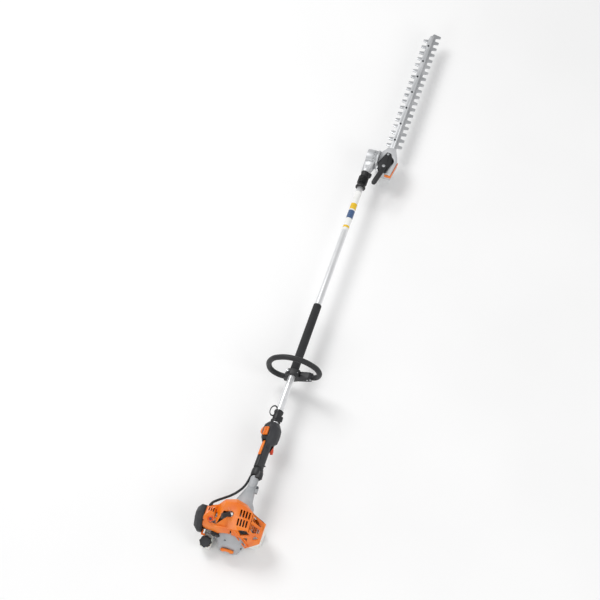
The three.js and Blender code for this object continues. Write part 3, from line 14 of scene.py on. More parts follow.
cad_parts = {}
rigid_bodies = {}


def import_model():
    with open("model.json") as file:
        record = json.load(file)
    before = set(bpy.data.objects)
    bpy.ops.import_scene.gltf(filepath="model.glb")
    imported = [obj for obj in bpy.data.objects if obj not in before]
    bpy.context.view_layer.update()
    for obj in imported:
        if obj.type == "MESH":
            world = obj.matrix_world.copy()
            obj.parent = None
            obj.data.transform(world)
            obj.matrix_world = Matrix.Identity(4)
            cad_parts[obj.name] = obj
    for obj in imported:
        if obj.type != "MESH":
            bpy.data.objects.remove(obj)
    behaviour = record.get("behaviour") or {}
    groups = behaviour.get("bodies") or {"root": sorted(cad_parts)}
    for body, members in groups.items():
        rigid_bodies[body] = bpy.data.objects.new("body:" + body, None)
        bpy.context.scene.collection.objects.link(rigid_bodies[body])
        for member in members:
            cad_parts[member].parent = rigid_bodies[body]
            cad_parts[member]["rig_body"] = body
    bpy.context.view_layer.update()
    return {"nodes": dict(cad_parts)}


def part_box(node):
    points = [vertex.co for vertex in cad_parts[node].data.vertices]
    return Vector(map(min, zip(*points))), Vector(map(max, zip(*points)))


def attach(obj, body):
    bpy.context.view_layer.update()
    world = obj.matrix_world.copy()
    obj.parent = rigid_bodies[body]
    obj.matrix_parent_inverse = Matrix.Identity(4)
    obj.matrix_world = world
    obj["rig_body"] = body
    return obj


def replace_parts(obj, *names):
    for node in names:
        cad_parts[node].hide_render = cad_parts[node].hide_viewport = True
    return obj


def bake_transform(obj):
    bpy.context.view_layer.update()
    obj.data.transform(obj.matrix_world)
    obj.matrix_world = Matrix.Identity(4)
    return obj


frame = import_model()
MM = 0.001
AXIS = 95.0  # height of the pole's axis, mm
POLE_RADIUS = 12.7
LOOP_PLACE = 625  # of the loop handle along the pole, mm
WELD = 1e-6  # metres; corners nearer than this are one corner


# %% [markdown]
# ## Tools for making pieces
# A moulded or cast part never has a knife edge, and it's the small round along each edge that
# catches the light. `softened` starts from a CAD node, welds its loose triangles, joins flat
# regions, and bevels the edges that are sharp enough to see. A short edge is left alone, since a
# bevel wider than its edge would fold over.

# %% Soft edges on a copy of a CAD node
SHARP = math.radians(24)
FLAT = math.radians(0.8)
ROOM_FOR_BEVEL = 2.4  # an edge is rounded when it is this many times longer than the bevel


def to_object(bm, name, body, material, angle=40):
    """Turns a bmesh into a finished piece that rides on a body."""
    mesh = bpy.data.meshes.new(name)
    bm.to_mesh(mesh)
    bm.free()
    mesh.materials.append(material)
    mesh.shade_smooth()
    mesh.set_sharp_from_angle(angle=math.radians(angle))
    piece = bpy.data.objects.new(name, mesh)
    bpy.context.scene.collection.objects.link(piece)
    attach(piece, body)
    return piece


def bevel(bm, edges, width, segments=2, clamp=True):
    """Rounds the given edges by a width in millimetres, held short of folding over if clamped."""
    bmesh.ops.bevel(bm, geom=edges, offset=width * MM, offset_type="OFFSET", segments=segments,
                    profile=0.5, affect="EDGES", material=-1, clamp_overlap=clamp)


def sharp_edges(bm, shortest):
    """The edges that turn a clear corner and are at least so many millimetres long."""
    return [e for e in bm.edges if e.is_manifold and e.calc_length() > shortest * MM
            and e.calc_face_angle(0) > SHARP]


def welded_copy(node):
    """A CAD node's mesh with its triangles welded and its flat regions joined."""
    bm = bmesh.new()
    bm.from_mesh(frame["nodes"][node].data)
    bmesh.ops.remove_doubles(bm, verts=bm.verts, dist=WELD)
    bmesh.ops.dissolve_limit(bm, angle_limit=FLAT, verts=bm.verts, edges=bm.edges)
    return bm


def softened(node, name, material, width=0.8, segments=2, angle=40):
    """A copy of a CAD node with rounded edges, shown in the node's place."""
    bm = welded_copy(node)
    bevel(bm, sharp_edges(bm, width * ROOM_FOR_BEVEL), width, segments, clamp=False)
    piece = to_object(bm, name, frame["nodes"][node]["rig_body"], material, angle)
    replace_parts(piece, node)
    return piece


# %% [markdown]
# Round parts are turned: a half profile is spun about an axis, as on a lathe. Bars and plates are
# cubes stretched between two points. Screws are short cylinders with a socket sunk by two insets.

# %% Turned shapes, bars and screws
def aim(direction):
    """A rotation that takes +Z to a direction."""
    return Vector((0, 0, 1)).rotation_difference(Vector(direction)).to_matrix().to_4x4()


def turned(bm, profile, centre, direction, steps=48, sweep=360.0, start=0.0):
    """Spins a profile of (radius, height) in millimetres about an axis through a centre."""
    verts = [bm.verts.new((r * MM, 0, h * MM)) for r, h in profile]
    edges = [bm.edges.new(pair) for pair in zip(verts, verts[1:])]
    first = Matrix.Rotation(math.radians(start), 3, "Z")
    bmesh.ops.rotate(bm, verts=verts, cent=(0, 0, 0), matrix=first)
    full = sweep > 359.9
    bmesh.ops.spin(bm, geom=verts + edges, cent=(0, 0, 0), axis=(0, 0, 1), steps=steps,
                   angle=math.radians(sweep), use_merge=full, use_duplicate=False)
    ring = list({v for e in edges for f in e.link_faces for v in f.verts} | set(verts))
    island = set(ring)
    waiting = list(ring)
    while waiting:
        for edge in waiting.pop().link_edges:
            for vert in edge.verts:
                if vert not in island:
                    island.add(vert)
                    waiting.append(vert)
    bmesh.ops.remove_doubles(bm, verts=list(island), dist=2 * WELD)
    island = [v for v in island if v.is_valid]
    place = Matrix.Translation(Vector(centre) * MM) @ aim(direction)
    bmesh.ops.transform(bm, matrix=place, verts=island)


def bar(bm, start, end, width, height, up=(0, 0, 1), soft=0.6):
    """A bar from one point to another, with rounded edges; all sizes in millimetres."""
    start, end = Vector(start), Vector(end)
    along = (end - start).normalized()
    side = along.cross(Vector(up)).normalized()
    top = side.cross(along)
    length = (end - start).length
    turn = Matrix((along, side, top)).transposed().to_4x4()
    size = Matrix.Diagonal((length * MM, width * MM, height * MM, 1))
    place = Matrix.Translation((start + end) / 2 * MM) @ turn @ size
    made = bmesh.ops.create_cube(bm, size=1.0, matrix=place)
    edges = list({e for v in made["verts"] for e in v.link_edges})
    bevel(bm, edges, soft)


def screw(bm, centre, direction, radius=3.4, height=2.6):
    """A socket screw's head, with its base at the centre."""
    sides = 24
    place = Matrix.Translation(Vector(centre) * MM) @ aim(direction)
    place = place @ Matrix.Translation((0, 0, height / 2 * MM))
    made = bmesh.ops.create_cone(bm, cap_ends=True, segments=sides, radius1=radius * MM,
                                 radius2=radius * MM, depth=height * MM, matrix=place)
    axis = Vector(direction).normalized()
    faces = list({f for v in made["verts"] for f in v.link_faces})
    bmesh.ops.recalc_face_normals(bm, faces=faces)
    caps = [f for f in faces if len(f.verts) == sides]
    top = max(caps, key=lambda f: f.calc_center_median().dot(axis))
    rim = list(top.edges)
    bmesh.ops.inset_region(bm, faces=[top], thickness=radius * 0.42 * MM, depth=0)
    bmesh.ops.inset_region(bm, faces=[top], thickness=0.05 * MM, depth=-height * 0.6 * MM)
    bevel(bm, rim, 0.4)


def smooth_tube(name, points, radius, body, material, rings=14):
    """A round tube along a smooth curve through points in millimetres."""
    curve = bpy.data.curves.new(name, "CURVE")
    curve.dimensions = "3D"
    spline = curve.splines.new("BEZIER")
    spline.bezier_points.add(len(points) - 1)
    for knot, point in zip(spline.bezier_points, points):
        knot.co = Vector(point) * MM
        knot.handle_left_type = knot.handle_right_type = "AUTO"
    spline.resolution_u = rings
    curve.bevel_depth = radius * MM
    curve.bevel_resolution = 8
    curve.use_fill_caps = True
    draft = bpy.data.objects.new(name, curve)
    bpy.context.scene.collection.objects.link(draft)
    bpy.context.view_layer.update()
    graph = bpy.context.evaluated_depsgraph_get()
    mesh = bpy.data.meshes.new_from_object(draft.evaluated_get(graph))
    bpy.data.objects.remove(draft)
    bm = bmesh.new()
    bm.from_mesh(mesh)
    bmesh.ops.remove_doubles(bm, verts=bm.verts, dist=WELD)
    bmesh.ops.recalc_face_normals(bm, faces=bm.faces)
    return to_object(bm, name, body, material)


print("tools ready")

# %% [markdown]
# ## Camera, light and floor
# The view looks down on the machine from behind and to its right with a long lens, as a catalogue
# shot does. Three large soft lamps and a pale surround give broad highlights with no hard shadow.

# %% Camera
scene = bpy.context.scene
lens_camera = bpy.data.cameras.new("catalogue_camera")
lens_camera.sensor_width = 36
lens_camera.lens = 104.28
lens_camera.clip_end = 50
camera = bpy.data.objects.new("catalogue_camera", lens_camera)
scene.collection.objects.link(camera)
RIGHT = Vector((0.95387427, 0.30020639, 0.0))
UP = Vector((-0.25596803, 0.81331151, 0.52249856))
BACK = RIGHT.cross(UP)
camera.matrix_world = Matrix.Translation((0.9628, -2.34675, 5.7139)) @ Matrix(
    (RIGHT, UP, BACK)).transposed().to_4x4()
scene.camera = camera
print("camera at", [round(value, 3) for value in camera.location])

# %% Colour from hex


def linear(hex_colour):
    """An sRGB hex colour as linear RGBA."""
    channels = [int(hex_colour[i:i + 2], 16) / 255 for i in (1, 3, 5)]
    return [c / 12.92 if c <= 0.04045 else ((c + 0.055) / 1.055) ** 2.4 for c in channels] + [1.0]


# %% Lights and surround
scene.view_settings.view_transform = "Standard"
scene.view_settings.look = "None"


def soft_lamp(name, place, target, size, power):
    """A large square lamp aimed at a target; places in metres."""
    lamp = bpy.data.lights.new(name, "AREA")
    lamp.size = size
    lamp.energy = power
    lamp_object = bpy.data.objects.new(name, lamp)
    lamp_object.location = place
    aimed = (Vector(place) - Vector(target)).to_track_quat("Z", "Y")
    lamp_object.rotation_euler = aimed.to_euler()
    scene.collection.objects.link(lamp_object)


soft_lamp("key_lamp", (-2.6, 2.4, 4.2), (0.0, 0.8, 0.1), 2.2, 112)
soft_lamp("fill_lamp", (3.4, -0.8, 3.0), (0.0, 0.8, 0.1), 2.6, 40)
soft_lamp("rear_lamp", (-1.2, -3.4, 2.6), (0.0, 0.4, 0.1), 2.0, 34)
world = bpy.data.worlds.new("pale_surround")
world.use_nodes = True
world.node_tree.nodes["Background"].inputs["Color"].default_value = linear("#ffffff")
world.node_tree.nodes["Background"].inputs["Strength"].default_value = 0.56
scene.world = world

# %% Floor
floor_bm = bmesh.new()
bmesh.ops.create_grid(floor_bm, x_segments=1, y_segments=1, size=30)
floor_mesh = bpy.data.meshes.new("studio_floor")
floor_bm.to_mesh(floor_mesh)
floor_bm.free()
floor = bpy.data.objects.new("studio_floor", floor_mesh)
scene.collection.objects.link(floor)

# %% [markdown]
# ## Finishes
# Each finish is a node tree. Patterns use Object coordinates, which are metres here, so a noise
# with grains of g millimetres has a scale of 1000 / g. One function adds a node, with its settings
# and its links.

# %% Node helper


def add(tree, kind, settings=None, links=None):
    """Adds a node. A setting is a property or an input, or a ramp's (position, hex) stops."""
    node = tree.nodes.new(kind)
    for key, value in (settings or {}).items():
        if key == "stops":
            for element, (position, colour) in zip(node.color_ramp.elements, value):
                element.position = position
                element.color = linear(colour)
        elif isinstance(key, int) or key in node.inputs:
            node.inputs[key].default_value = value
        else:
            setattr(node, key, value)
    for key, output in (links or {}).items():
        tree.links.new(output, node.inputs[key])
    return node


def blank(name):
    """A material with only its output and a surface shader; returns both and the coordinates."""
    material = bpy.data.materials.new(name)
    material.use_nodes = True
    tree = material.node_tree
    tree.nodes.clear()
    shader = add(tree, "ShaderNodeBsdfPrincipled")
    add(tree, "ShaderNodeOutputMaterial", links={"Surface": shader.outputs["BSDF"]})
    place = add(tree, "ShaderNodeTexCoord").outputs["Object"]
    return material, tree, shader, place


# %% [markdown]
# ### Moulded plastics
# Glass-filled nylon and ABS come out of a spark-eroded tool with a fine grain. The resin's colour
# drifts a little over a big moulding, handling polishes some areas, and dust settles in the grain.
# Three noises make this: a slow one for colour, a middle one for gloss, and a fine one for grain.

# %% Moulded plastic


def moulded(name, light, dark, rough, grain, depth, coat=0.0, subsurface=0.0):
    """A grained plastic; light and dark are hex colours, grain is in millimetres."""
    material, tree, shader, place = blank(name)
    drift = add(tree, "ShaderNodeTexNoise", {"Scale": 1000 / 45, "Detail": 3.0}, {"Vector": place})
    speckle = add(tree, "ShaderNodeTexNoise", {"Scale": 1000 / (grain * 2), "Detail": 2.0},
                  {"Vector": place})
    both = add(tree, "ShaderNodeMath", {"operation": "MULTIPLY_ADD", 1: 0.25},
               {0: speckle.outputs["Fac"], 2: drift.outputs["Fac"]})
    colour = add(tree, "ShaderNodeValToRGB", {"stops": [(0.45, dark), (0.75, light)]},
                 {"Fac": both.outputs[0]})
    tree.links.new(colour.outputs["Color"], shader.inputs["Base Color"])
    rub = add(tree, "ShaderNodeTexNoise", {"Scale": 1000 / 18, "Detail": 4.0}, {"Vector": place})
    gloss = add(tree, "ShaderNodeMapRange", {"To Min": rough - 0.07, "To Max": rough + 0.1},
                {"Value": rub.outputs["Fac"]})
    tree.links.new(gloss.outputs[0], shader.inputs["Roughness"])
    fine = add(tree, "ShaderNodeTexNoise", {"Scale": 1000 / grain, "Detail": 2.0},
               {"Vector": place})
    bump = add(tree, "ShaderNodeBump", {"Strength": 0.35, "Distance": depth * MM},
               {"Height": fine.outputs["Fac"]})
    tree.links.new(bump.outputs["Normal"], shader.inputs["Normal"])
    shader.inputs["IOR"].default_value = 1.5
    shader.inputs["Coat Weight"].default_value = coat
    shader.inputs["Coat Roughness"].default_value = 0.25
    shader.inputs["Subsurface Weight"].default_value = subsurface
    shader.inputs["Subsurface Radius"].default_value = (0.004, 0.003, 0.002)
    return material


# The covers: glossy orange nylon; grain drawn at 1.2 mm so that it shows.
orange_nylon = moulded("moulded_orange_nylon", "#f6820c", "#e96b04", 0.34, 1.2, 0.10, coat=0.25)
# Trigger and screw ring: redder nylon, a little shinier.
red_nylon = moulded("moulded_red_orange_nylon", "#ea4a12", "#d93c0a", 0.36, 1.0, 0.08, coat=0.2)
# Handle, sleeve and clamps: black glass-filled nylon with a matt spark-eroded grain.
black_nylon = moulded("black_glass_filled_nylon", "#222326", "#151618", 0.46, 1.1, 0.14)
# Filter cover and right handle shell: charcoal nylon.
charcoal_nylon = moulded("charcoal_glass_filled_nylon", "#323337", "#27282b", 0.5, 1.1, 0.14)
# Starter housing and clutch housing: light grey nylon.
grey_nylon = moulded("light_grey_nylon", "#b4b6b9", "#a3a6a9", 0.44, 1.3, 0.12)
# Tank: blow-moulded polyethylene, which lets light in under its waxy skin.
milky_polyethylene = moulded("blow_moulded_polyethylene", "#eeede8", "#e2e1da", 0.38, 2.2, 0.10,
                             subsurface=0.35)
print("plastics ready")

# %% [markdown]
# ### Rubber and foam
# Moulded rubber is matt and dark, with a slight bloom that greys its high spots. Closed-cell foam
# shows its cut bubbles as small pits, which a Voronoi pattern makes.

# %% Rubber and foam


def rubbery(name, light, dark, cell, depth, rough):
    """Rubber or foam with round pits of a size in millimetres."""
    material, tree, shader, place = blank(name)
    cells = add(tree, "ShaderNodeTexVoronoi", {"Scale": 1000 / cell}, {"Vector": place})
    bloom = add(tree, "ShaderNodeTexNoise", {"Scale": 1000 / 30, "Detail": 5.0}, {"Vector": place})
    tone = add(tree, "ShaderNodeMath", {"operation": "MULTIPLY_ADD", 1: 0.35},
               {0: cells.outputs["Distance"], 2: bloom.outputs["Fac"]})
    colour = add(tree, "ShaderNodeValToRGB", {"stops": [(0.4, dark), (0.8, light)]},
                 {"Fac": tone.outputs[0]})
    tree.links.new(colour.outputs["Color"], shader.inputs["Base Color"])
    gloss = add(tree, "ShaderNodeMapRange", {"To Min": rough - 0.06, "To Max": rough + 0.1},
                {"Value": bloom.outputs["Fac"]})
    tree.links.new(gloss.outputs[0], shader.inputs["Roughness"])
    bump = add(tree, "ShaderNodeBump", {"Strength": 0.6, "Distance": depth * MM},
               {"Height": cells.outputs["Distance"]})
    tree.links.new(bump.outputs["Normal"], shader.inputs["Normal"])
    shader.inputs["Sheen Weight"].default_value = 0.15
    shader.inputs["Sheen Roughness"].default_value = 0.4
    return material


moulded_rubber = rubbery("moulded_black_rubber", "#242527", "#161719", 1.4, 0.12, 0.56)
cell_foam = rubbery("closed_cell_foam", "#28292b", "#1a1b1d", 2.0, 0.35, 0.78)
filter_felt = rubbery("pressed_felt", "#8d8878", "#7a7566", 1.6, 0.4, 0.9)
print("rubber and foam ready")

# %% [markdown]
# ### Metals
# Cast aluminium keeps the sandy skin of its die. Drawn tube and ground blades carry fine lines in
# the direction they were worked, made by a noise that is stretched along that direction.

# %% Metals


def worked_metal(name, light, dark, rough, line, stretch, depth, metallic=1.0):
    """A metal with marks of a width in millimetres, stretched by a factor along X, Y and Z."""
    material, tree, shader, place = blank(name)
    stretched = add(tree, "ShaderNodeMapping", {"Scale": stretch}, {"Vector": place})
    marks = add(tree, "ShaderNodeTexNoise", {"Scale": 1000 / line, "Detail": 3.0},
                {"Vector": stretched.outputs["Vector"]})
    stains = add(tree, "ShaderNodeTexNoise", {"Scale": 1000 / 60, "Detail": 4.0}, {"Vector": place})
    tone = add(tree, "ShaderNodeMath", {"operation": "MULTIPLY_ADD", 1: 0.4},
               {0: marks.outputs["Fac"], 2: stains.outputs["Fac"]})
    colour = add(tree, "ShaderNodeValToRGB", {"stops": [(0.5, dark), (0.9, light)]},
                 {"Fac": tone.outputs[0]})
    tree.links.new(colour.outputs["Color"], shader.inputs["Base Color"])
    gloss = add(tree, "ShaderNodeMapRange", {"To Min": rough - 0.08, "To Max": rough + 0.12},
                {"Value": marks.outputs["Fac"]})
    tree.links.new(gloss.outputs[0], shader.inputs["Roughness"])
    bump = add(tree, "ShaderNodeBump", {"Strength": 0.4, "Distance": depth * MM},
               {"Height": marks.outputs["Fac"]})
    tree.links.new(bump.outputs["Normal"], shader.inputs["Normal"])
    shader.inputs["Metallic"].default_value = metallic
    return material


# Gear housings: pressure die-cast aluminium, painted silver-grey over a 1.6 mm grit.
cast_aluminium = worked_metal("die_cast_aluminium", "#d6d7d9", "#bfc1c3", 0.42, 1.6, (1, 1, 1),
                              0.12, metallic=0.55)
# Pole: drawn aluminium tube; draw lines 0.8 mm wide run along Y.
drawn_tube = worked_metal("drawn_aluminium_tube", "#f4f5f6", "#e6e7e9", 0.32, 0.8, (1, 0.02, 1),
                          0.03, metallic=0.75)
# Blades: punched steel, surface-ground across the teeth, 0.9 mm lines along X.
ground_steel = worked_metal("ground_blade_steel", "#dcdddf", "#b5b7ba", 0.33, 0.9, (0.05, 1, 1),
                            0.04)
# Inner rotating parts and screws: oiled, blackened steel.
oiled_steel = worked_metal("oiled_black_steel", "#5d5f63", "#3d3f42", 0.36, 1.2, (1, 1, 1), 0.06)
# Bearings: polished chrome steel.
bearing_steel = worked_metal("polished_bearing_steel", "#d9dadc", "#c3c5c8", 0.2, 0.8,
                             (1, 1, 0.1), 0.02)
# Muffler: aluminised sheet.
aluminised_sheet = worked_metal("aluminised_steel_sheet", "#c9cacb", "#a2a4a6", 0.38, 1.4,
                                (1, 1, 1), 0.08)
print("metals ready")

# %% Floor paint and the label's films
floor_paint, floor_tree, floor_shader, floor_place = blank("pale_studio_floor")
floor_mottle = add(floor_tree, "ShaderNodeTexNoise", {"Scale": 1.5, "Detail": 2.0},
                   {"Vector": floor_place})
floor_colour = add(floor_tree, "ShaderNodeValToRGB",
                   {"stops": [(0.3, "#f7f7f7"), (0.7, "#fbfbfb")]},
                   {"Fac": floor_mottle.outputs["Fac"]})
floor_tree.links.new(floor_colour.outputs["Color"], floor_shader.inputs["Base Color"])
floor_shader.inputs["Roughness"].default_value = 0.7
floor.data.materials.append(floor_paint)
white_film = moulded("printed_white_film", "#f2f2f0", "#e9e9e6", 0.26, 3.0, 0.02, coat=0.4)
yellow_film = moulded("printed_yellow_film", "#edc321", "#e2b70f", 0.26, 3.0, 0.02, coat=0.4)
blue_film = moulded("printed_blue_film", "#41608c", "#35527c", 0.26, 3.0, 0.02, coat=0.4)
print("floor and films ready")

# %% [markdown]
# ## Parts inside the machine
# Crank, piston, fan, clutch, gears and bearings are hardly seen from outside, so their CAD shapes
# are kept and only get the finish of the real ones.

# %% Finishes for the inner parts
INNER = {
    oiled_steel: ("crank_half_rear", "crank_half_front", "connecting_rod", "clutch_shoes",
                  "clutch_drum", "drive_shaft", "bevel_pinion", "swivel_shaft", "crank_gear"),
    bearing_steel: ("crank_bearing_rear", "crank_bearing_front"),
    cast_aluminium: ("piston", "crankcase", "flywheel_fan", "cylinder", "carburetor"),
    ground_steel: ("spark_plug",),
    black_nylon: ("ignition_module", "starter_pulley", "filter_base"),
    filter_felt: ("filter_element",),
    moulded_rubber: ("shaft_bushing",),
}
inner_count = 0
for material, names in INNER.items():
    for name in names:
        node = frame["nodes"][name]
        node.data.materials.clear()
        node.data.materials.append(material)
        inner_count += 1
print("inner parts with a finish:", inner_count)

# %% [markdown]
# ## Engine covers
# The orange cover over the engine is a thin injection moulding with flat facets, and its edges
# are rounded by about a millimetre so that the melt can flow. The guard over the muffler is a
# second moulding of the same nylon. Both are softened copies of their solids.

# %% Shroud, guard and filter cover
softened("engine_shroud", "shroud_cover", orange_nylon, 1.1, 3)
softened("muffler_guard", "guard_cover", orange_nylon, 1.0, 3)
softened("filter_cover", "filter_lid", charcoal_nylon, 1.6, 3)
softened("plug_boot", "spark_plug_boot", moulded_rubber, 1.2, 3)
softened("muffler", "muffler_can", aluminised_sheet, 1.2, 2)
softened("choke_lever", "choke_arm", orange_nylon, 0.7, 2)
print("covers softened")

# %% [markdown]
# Two long ribs run from the top panel down the rear wall to the guard's lowest corner. They
# stiffen the cover and guide the hand. Each is a bar from point to point, sunk a little into the
# wall, with a wide round on its edges.

# %% Ribs and window slats
rib_bm = bmesh.new()
bar(rib_bm, (-12, -54.5, 141), (45, -71, 53), 4.0, 5.0, up=(0, -1, 0.3), soft=1.4)
bar(rib_bm, (3, -54, 144), (55, -68.5, 62), 4.0, 5.0, up=(0, -1, 0.3), soft=1.4)
to_object(rib_bm, "shroud_ribs", "machine", orange_nylon)

slat_bm = bmesh.new()
for i in range(5):
    out, height = i * 1.3, 138 - i * 7.2
    bar(slat_bm, (14 + i * 3.2, -46.0 - out, height), (48 + i * 2.2, -42.0 - out, height),
        3.0, 3.4, soft=0.8)
to_object(slat_bm, "exhaust_slats", "machine", black_nylon)

louvre_bm = bmesh.new()
for i in range(6):
    x, drop = 59 + i * 5.4, i * 7.4
    bar(louvre_bm, (x, 4, 157 - drop), (x - 3, -36, 144 - drop), 3.6, 1.4, up=(1, 0, 0.9), soft=0.4)
to_object(louvre_bm, "guard_louvres", "machine", orange_nylon)
print("ribs and slats made")

# %% [markdown]
# The top panel's slots let cooling air in. A slim dark grille sits under them, where the fan's
# duct would show. A flat black panel under the triangular recess is painted shade: it darkens the
# recess round the plug boot.

# %% Grille, louvres and screw ring
grille_and_recess_shade_bm = bmesh.new()
bar(grille_and_recess_shade_bm, (25, -46, 133), (25, 12, 163), 44, 1.6, soft=0.5)
for i in range(6):
    y = -40 + i * 10
    bar(grille_and_recess_shade_bm, (4, y, 138.5 + i * 5.1), (46, y, 138.5 + i * 5.1), 1.6, 3.0, soft=0.4)
# Flat black panel under the plug boot's recess: painted shade that keeps the recess dark.
bar(grille_and_recess_shade_bm, (-50, -50, 117), (-46, 4, 145), 40, 1.8, soft=0.6)
to_object(grille_and_recess_shade_bm, "duct_grille_and_recess_shade", "machine", black_nylon)

RING_AXIS = Vector((-0.06, -0.5, 0.86)).normalized()
RING_PLACE = Vector((-90, -41, 151))
ring_bm = bmesh.new()
turned(ring_bm, [(5.4, -3), (5.4, 1.2), (6.2, 2.0), (8.4, 2.0), (9.2, 1.2), (9.2, -3), (5.4, -3)],
       RING_PLACE, RING_AXIS, steps=40)
to_object(ring_bm, "screw_ring", "machine", red_nylon)
ring_screw_bm = bmesh.new()
screw(ring_screw_bm, RING_PLACE - RING_AXIS * 3.5, RING_AXIS, 4.6, 3.0)
to_object(ring_screw_bm, "cover_screw", "machine", oiled_steel)
print("ring at", [round(v, 1) for v in RING_PLACE])

# %% [markdown]
# ## Starter, tank and primer
# The starter housing is a tapered light grey moulding held by socket screws. The pull grip is a
# two-shot part, orange round a grey core. The tank is blown polyethylene with a parting ridge
# round its middle, and its cap and the primer bulb are turned shapes.

# %% Starter housing and its screws
softened("starter_housing", "starter_cover", grey_nylon, 1.8, 3)
starter_bm = bmesh.new()
STARTER_FACE = (0, -0.93, 0.35)
GRIP = (-14, -104.2, 49)
for x, y, z in ((-27, -76.4, 85), (29, -75, 49), (-48, -76, 52)):
    screw(starter_bm, (x, y, z), STARTER_FACE, 3.8, 3.0)
to_object(starter_bm, "starter_screws", "machine", oiled_steel)

# %% Pull grip and its rope
softened("starter_grip", "pull_grip", orange_nylon, 1.6, 3)
core_bm = bmesh.new()
bmesh.ops.create_cone(core_bm, cap_ends=True, segments=32, radius1=1.0, radius2=0.86, depth=1.0)
core_edges = [e for e in core_bm.edges if e.calc_face_angle(0) > 1.0]
bmesh.ops.bevel(core_bm, geom=core_edges, offset=0.12, segments=3, profile=0.5, affect="EDGES",
                material=-1)
core_place = Matrix.Translation(Vector(GRIP) * MM) @ Matrix.Rotation(
    math.radians(90), 4, "X") @ Matrix.Diagonal((0.0125, 0.0052, 0.0022, 1))
bmesh.ops.transform(core_bm, matrix=core_place, verts=core_bm.verts)
to_object(core_bm, "pull_grip_core", "grip", grey_nylon)

rope_points = [(GRIP[0], -56 - i * 4.2, GRIP[2]) for i in range(11)]
rope = smooth_tube("pull_rope", rope_points, 1.7, "grip", moulded_rubber, 4)
rope.parent = None
del rope["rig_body"]
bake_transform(rope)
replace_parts(rope, "starter_rope")
print("starter made")

# %% Tank, cap, foot and primer
softened("fuel_tank", "tank_bottle", milky_polyethylene, 2.6, 3, 50)
softened("tank_foot", "foot_plate", grey_nylon, 1.2, 2)
softened("fuel_cap", "tank_cap", black_nylon, 0.9, 3)

low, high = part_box("primer_bulb")
PRIMER = ((low.x + high.x) / 2 / MM, high.y / MM, (low.z + high.z) / 2 / MM)
primer_bm = bmesh.new()
dome = [(0, 0.2), (10.8, 0.2), (10.8, 2.2), (10.2, 2.8), (8.4, 2.8), (8.2, 3.6), (8.0, 6.0),
        (7.2, 8.4), (5.6, 10.2), (3.2, 11.2), (0, 11.5)]
turned(primer_bm, dome, PRIMER, (0, -1, 0), steps=40)
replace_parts(to_object(primer_bm, "primer_dome", "primer", moulded_rubber, 50),
            "primer_bulb")
print("primer at", [round(v, 1) for v in PRIMER])

# %% Primer base
base_bm = bmesh.new()
bar(base_bm, (PRIMER[0] - 12, -60, PRIMER[2] + 1), (PRIMER[0] + 26, -63.5, PRIMER[2] - 10), 13, 22,
    up=(0.3, 0, 1), soft=4.0)
to_object(base_bm, "primer_base", "machine", black_nylon)

# %% [markdown]
# ## Clutch housing, cable and collar
# The cone in front of the engine carries the pole. It's a die casting with a split neck, which a
# screw pulls tight. The throttle cable leaves the collar of the handle, bends round the cone and
# goes into the cover; it's a round rubber sheath that both ends hold.

# %% Clutch housing and its screw
softened("clutch_housing", "clutch_cone", grey_nylon, 1.2, 3, 50)
softened("clamp_screw", "neck_screw", oiled_steel, 0.5, 2)
CABLE = [(-19, 184, 86), (-21, 165, 88), (-25, 138, 97), (-34, 112, 108), (-51, 82, 121),
         (-73, 55, 135), (-92, 34, 145), (-104, 19, 149), (-109, 6, 144)]
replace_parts(smooth_tube("throttle_sheath", CABLE, 4.5, "machine", moulded_rubber, 8),
            "throttle_cable")
ferrule_bm = bmesh.new()
turned(ferrule_bm, [(0, -6), (5.2, -6), (5.6, -5), (5.6, 4), (4.8, 6), (0, 6)],
       (-106.5, 12.5, 147.2), (-0.42, -0.83, -0.36), steps=24)
to_object(ferrule_bm, "cable_ferrule", "machine", black_nylon)
softened("handle_collar", "cable_collar", black_nylon, 1.4, 3)
print("cable points:", len(CABLE))

# %% [markdown]
# ## Control handle
# Two shells are screwed together round the pole: a black one and a dark grey one with a rubbery
# skin. The stop button, the thumbwheel, the lock and the trigger stand out in orange. Grip ribs
# are moulded across the black shell, and small screws sit in the seam.

# %% Handle shells and controls
softened("handle_left_shell", "left_shell", black_nylon, 1.3, 3)
softened("handle_right_shell", "right_shell", charcoal_nylon, 1.3, 3)
softened("throttle_trigger", "trigger_blade", red_nylon, 1.4, 3)
softened("trigger_lock", "lock_lever", orange_nylon, 1.2, 3)
softened("stop_button", "stop_key", orange_nylon, 1.4, 3)
softened("speed_wheel", "speed_thumbwheel", orange_nylon, 0.8, 2)

ROLL = Matrix.Rotation(math.radians(-35), 4, "Y")
HANDLE_PLACE = Matrix.Translation((0, 0, AXIS * MM)) @ ROLL


def in_handle(point):
    """A point given across, along and above the rolled handle, as world millimetres."""
    x, y, z = point
    place = HANDLE_PLACE @ Vector((x * MM, y * MM, z * MM))
    return tuple(place / MM)


handle_bm = bmesh.new()
across = HANDLE_PLACE.to_3x3() @ Vector((1, 0, 0))
for y, z in ((232, -9), (300, 12), (352, -24), (384, 4)):
    screw(handle_bm, in_handle((16.4 + (6 if y > 320 else 0), y, z)), across, 3.0, 1.6)
to_object(handle_bm, "shell_screws", "machine", oiled_steel)

key_bm = bmesh.new()
for i in range(4):
    start, end = in_handle((-1, 345 + i * 7, 40.6)), in_handle((11, 345 + i * 7, 40.6))
    bar(key_bm, start, end, 2.0, 1.4, up=(-0.57, 0, 0.82), soft=0.5)
to_object(key_bm, "stop_key_ribs", "button", orange_nylon)
print("handle made")

# %% [markdown]
# ## Pole, label, foam and carrying ring
# The pole is turned from a half profile, so it's truly round. A printed film is wrapped over its
# upper side: a thin arc of film with plain colour blocks and no words. The foam sleeve is
# stretched over the pole, so it bulges slightly between its rounded ends.

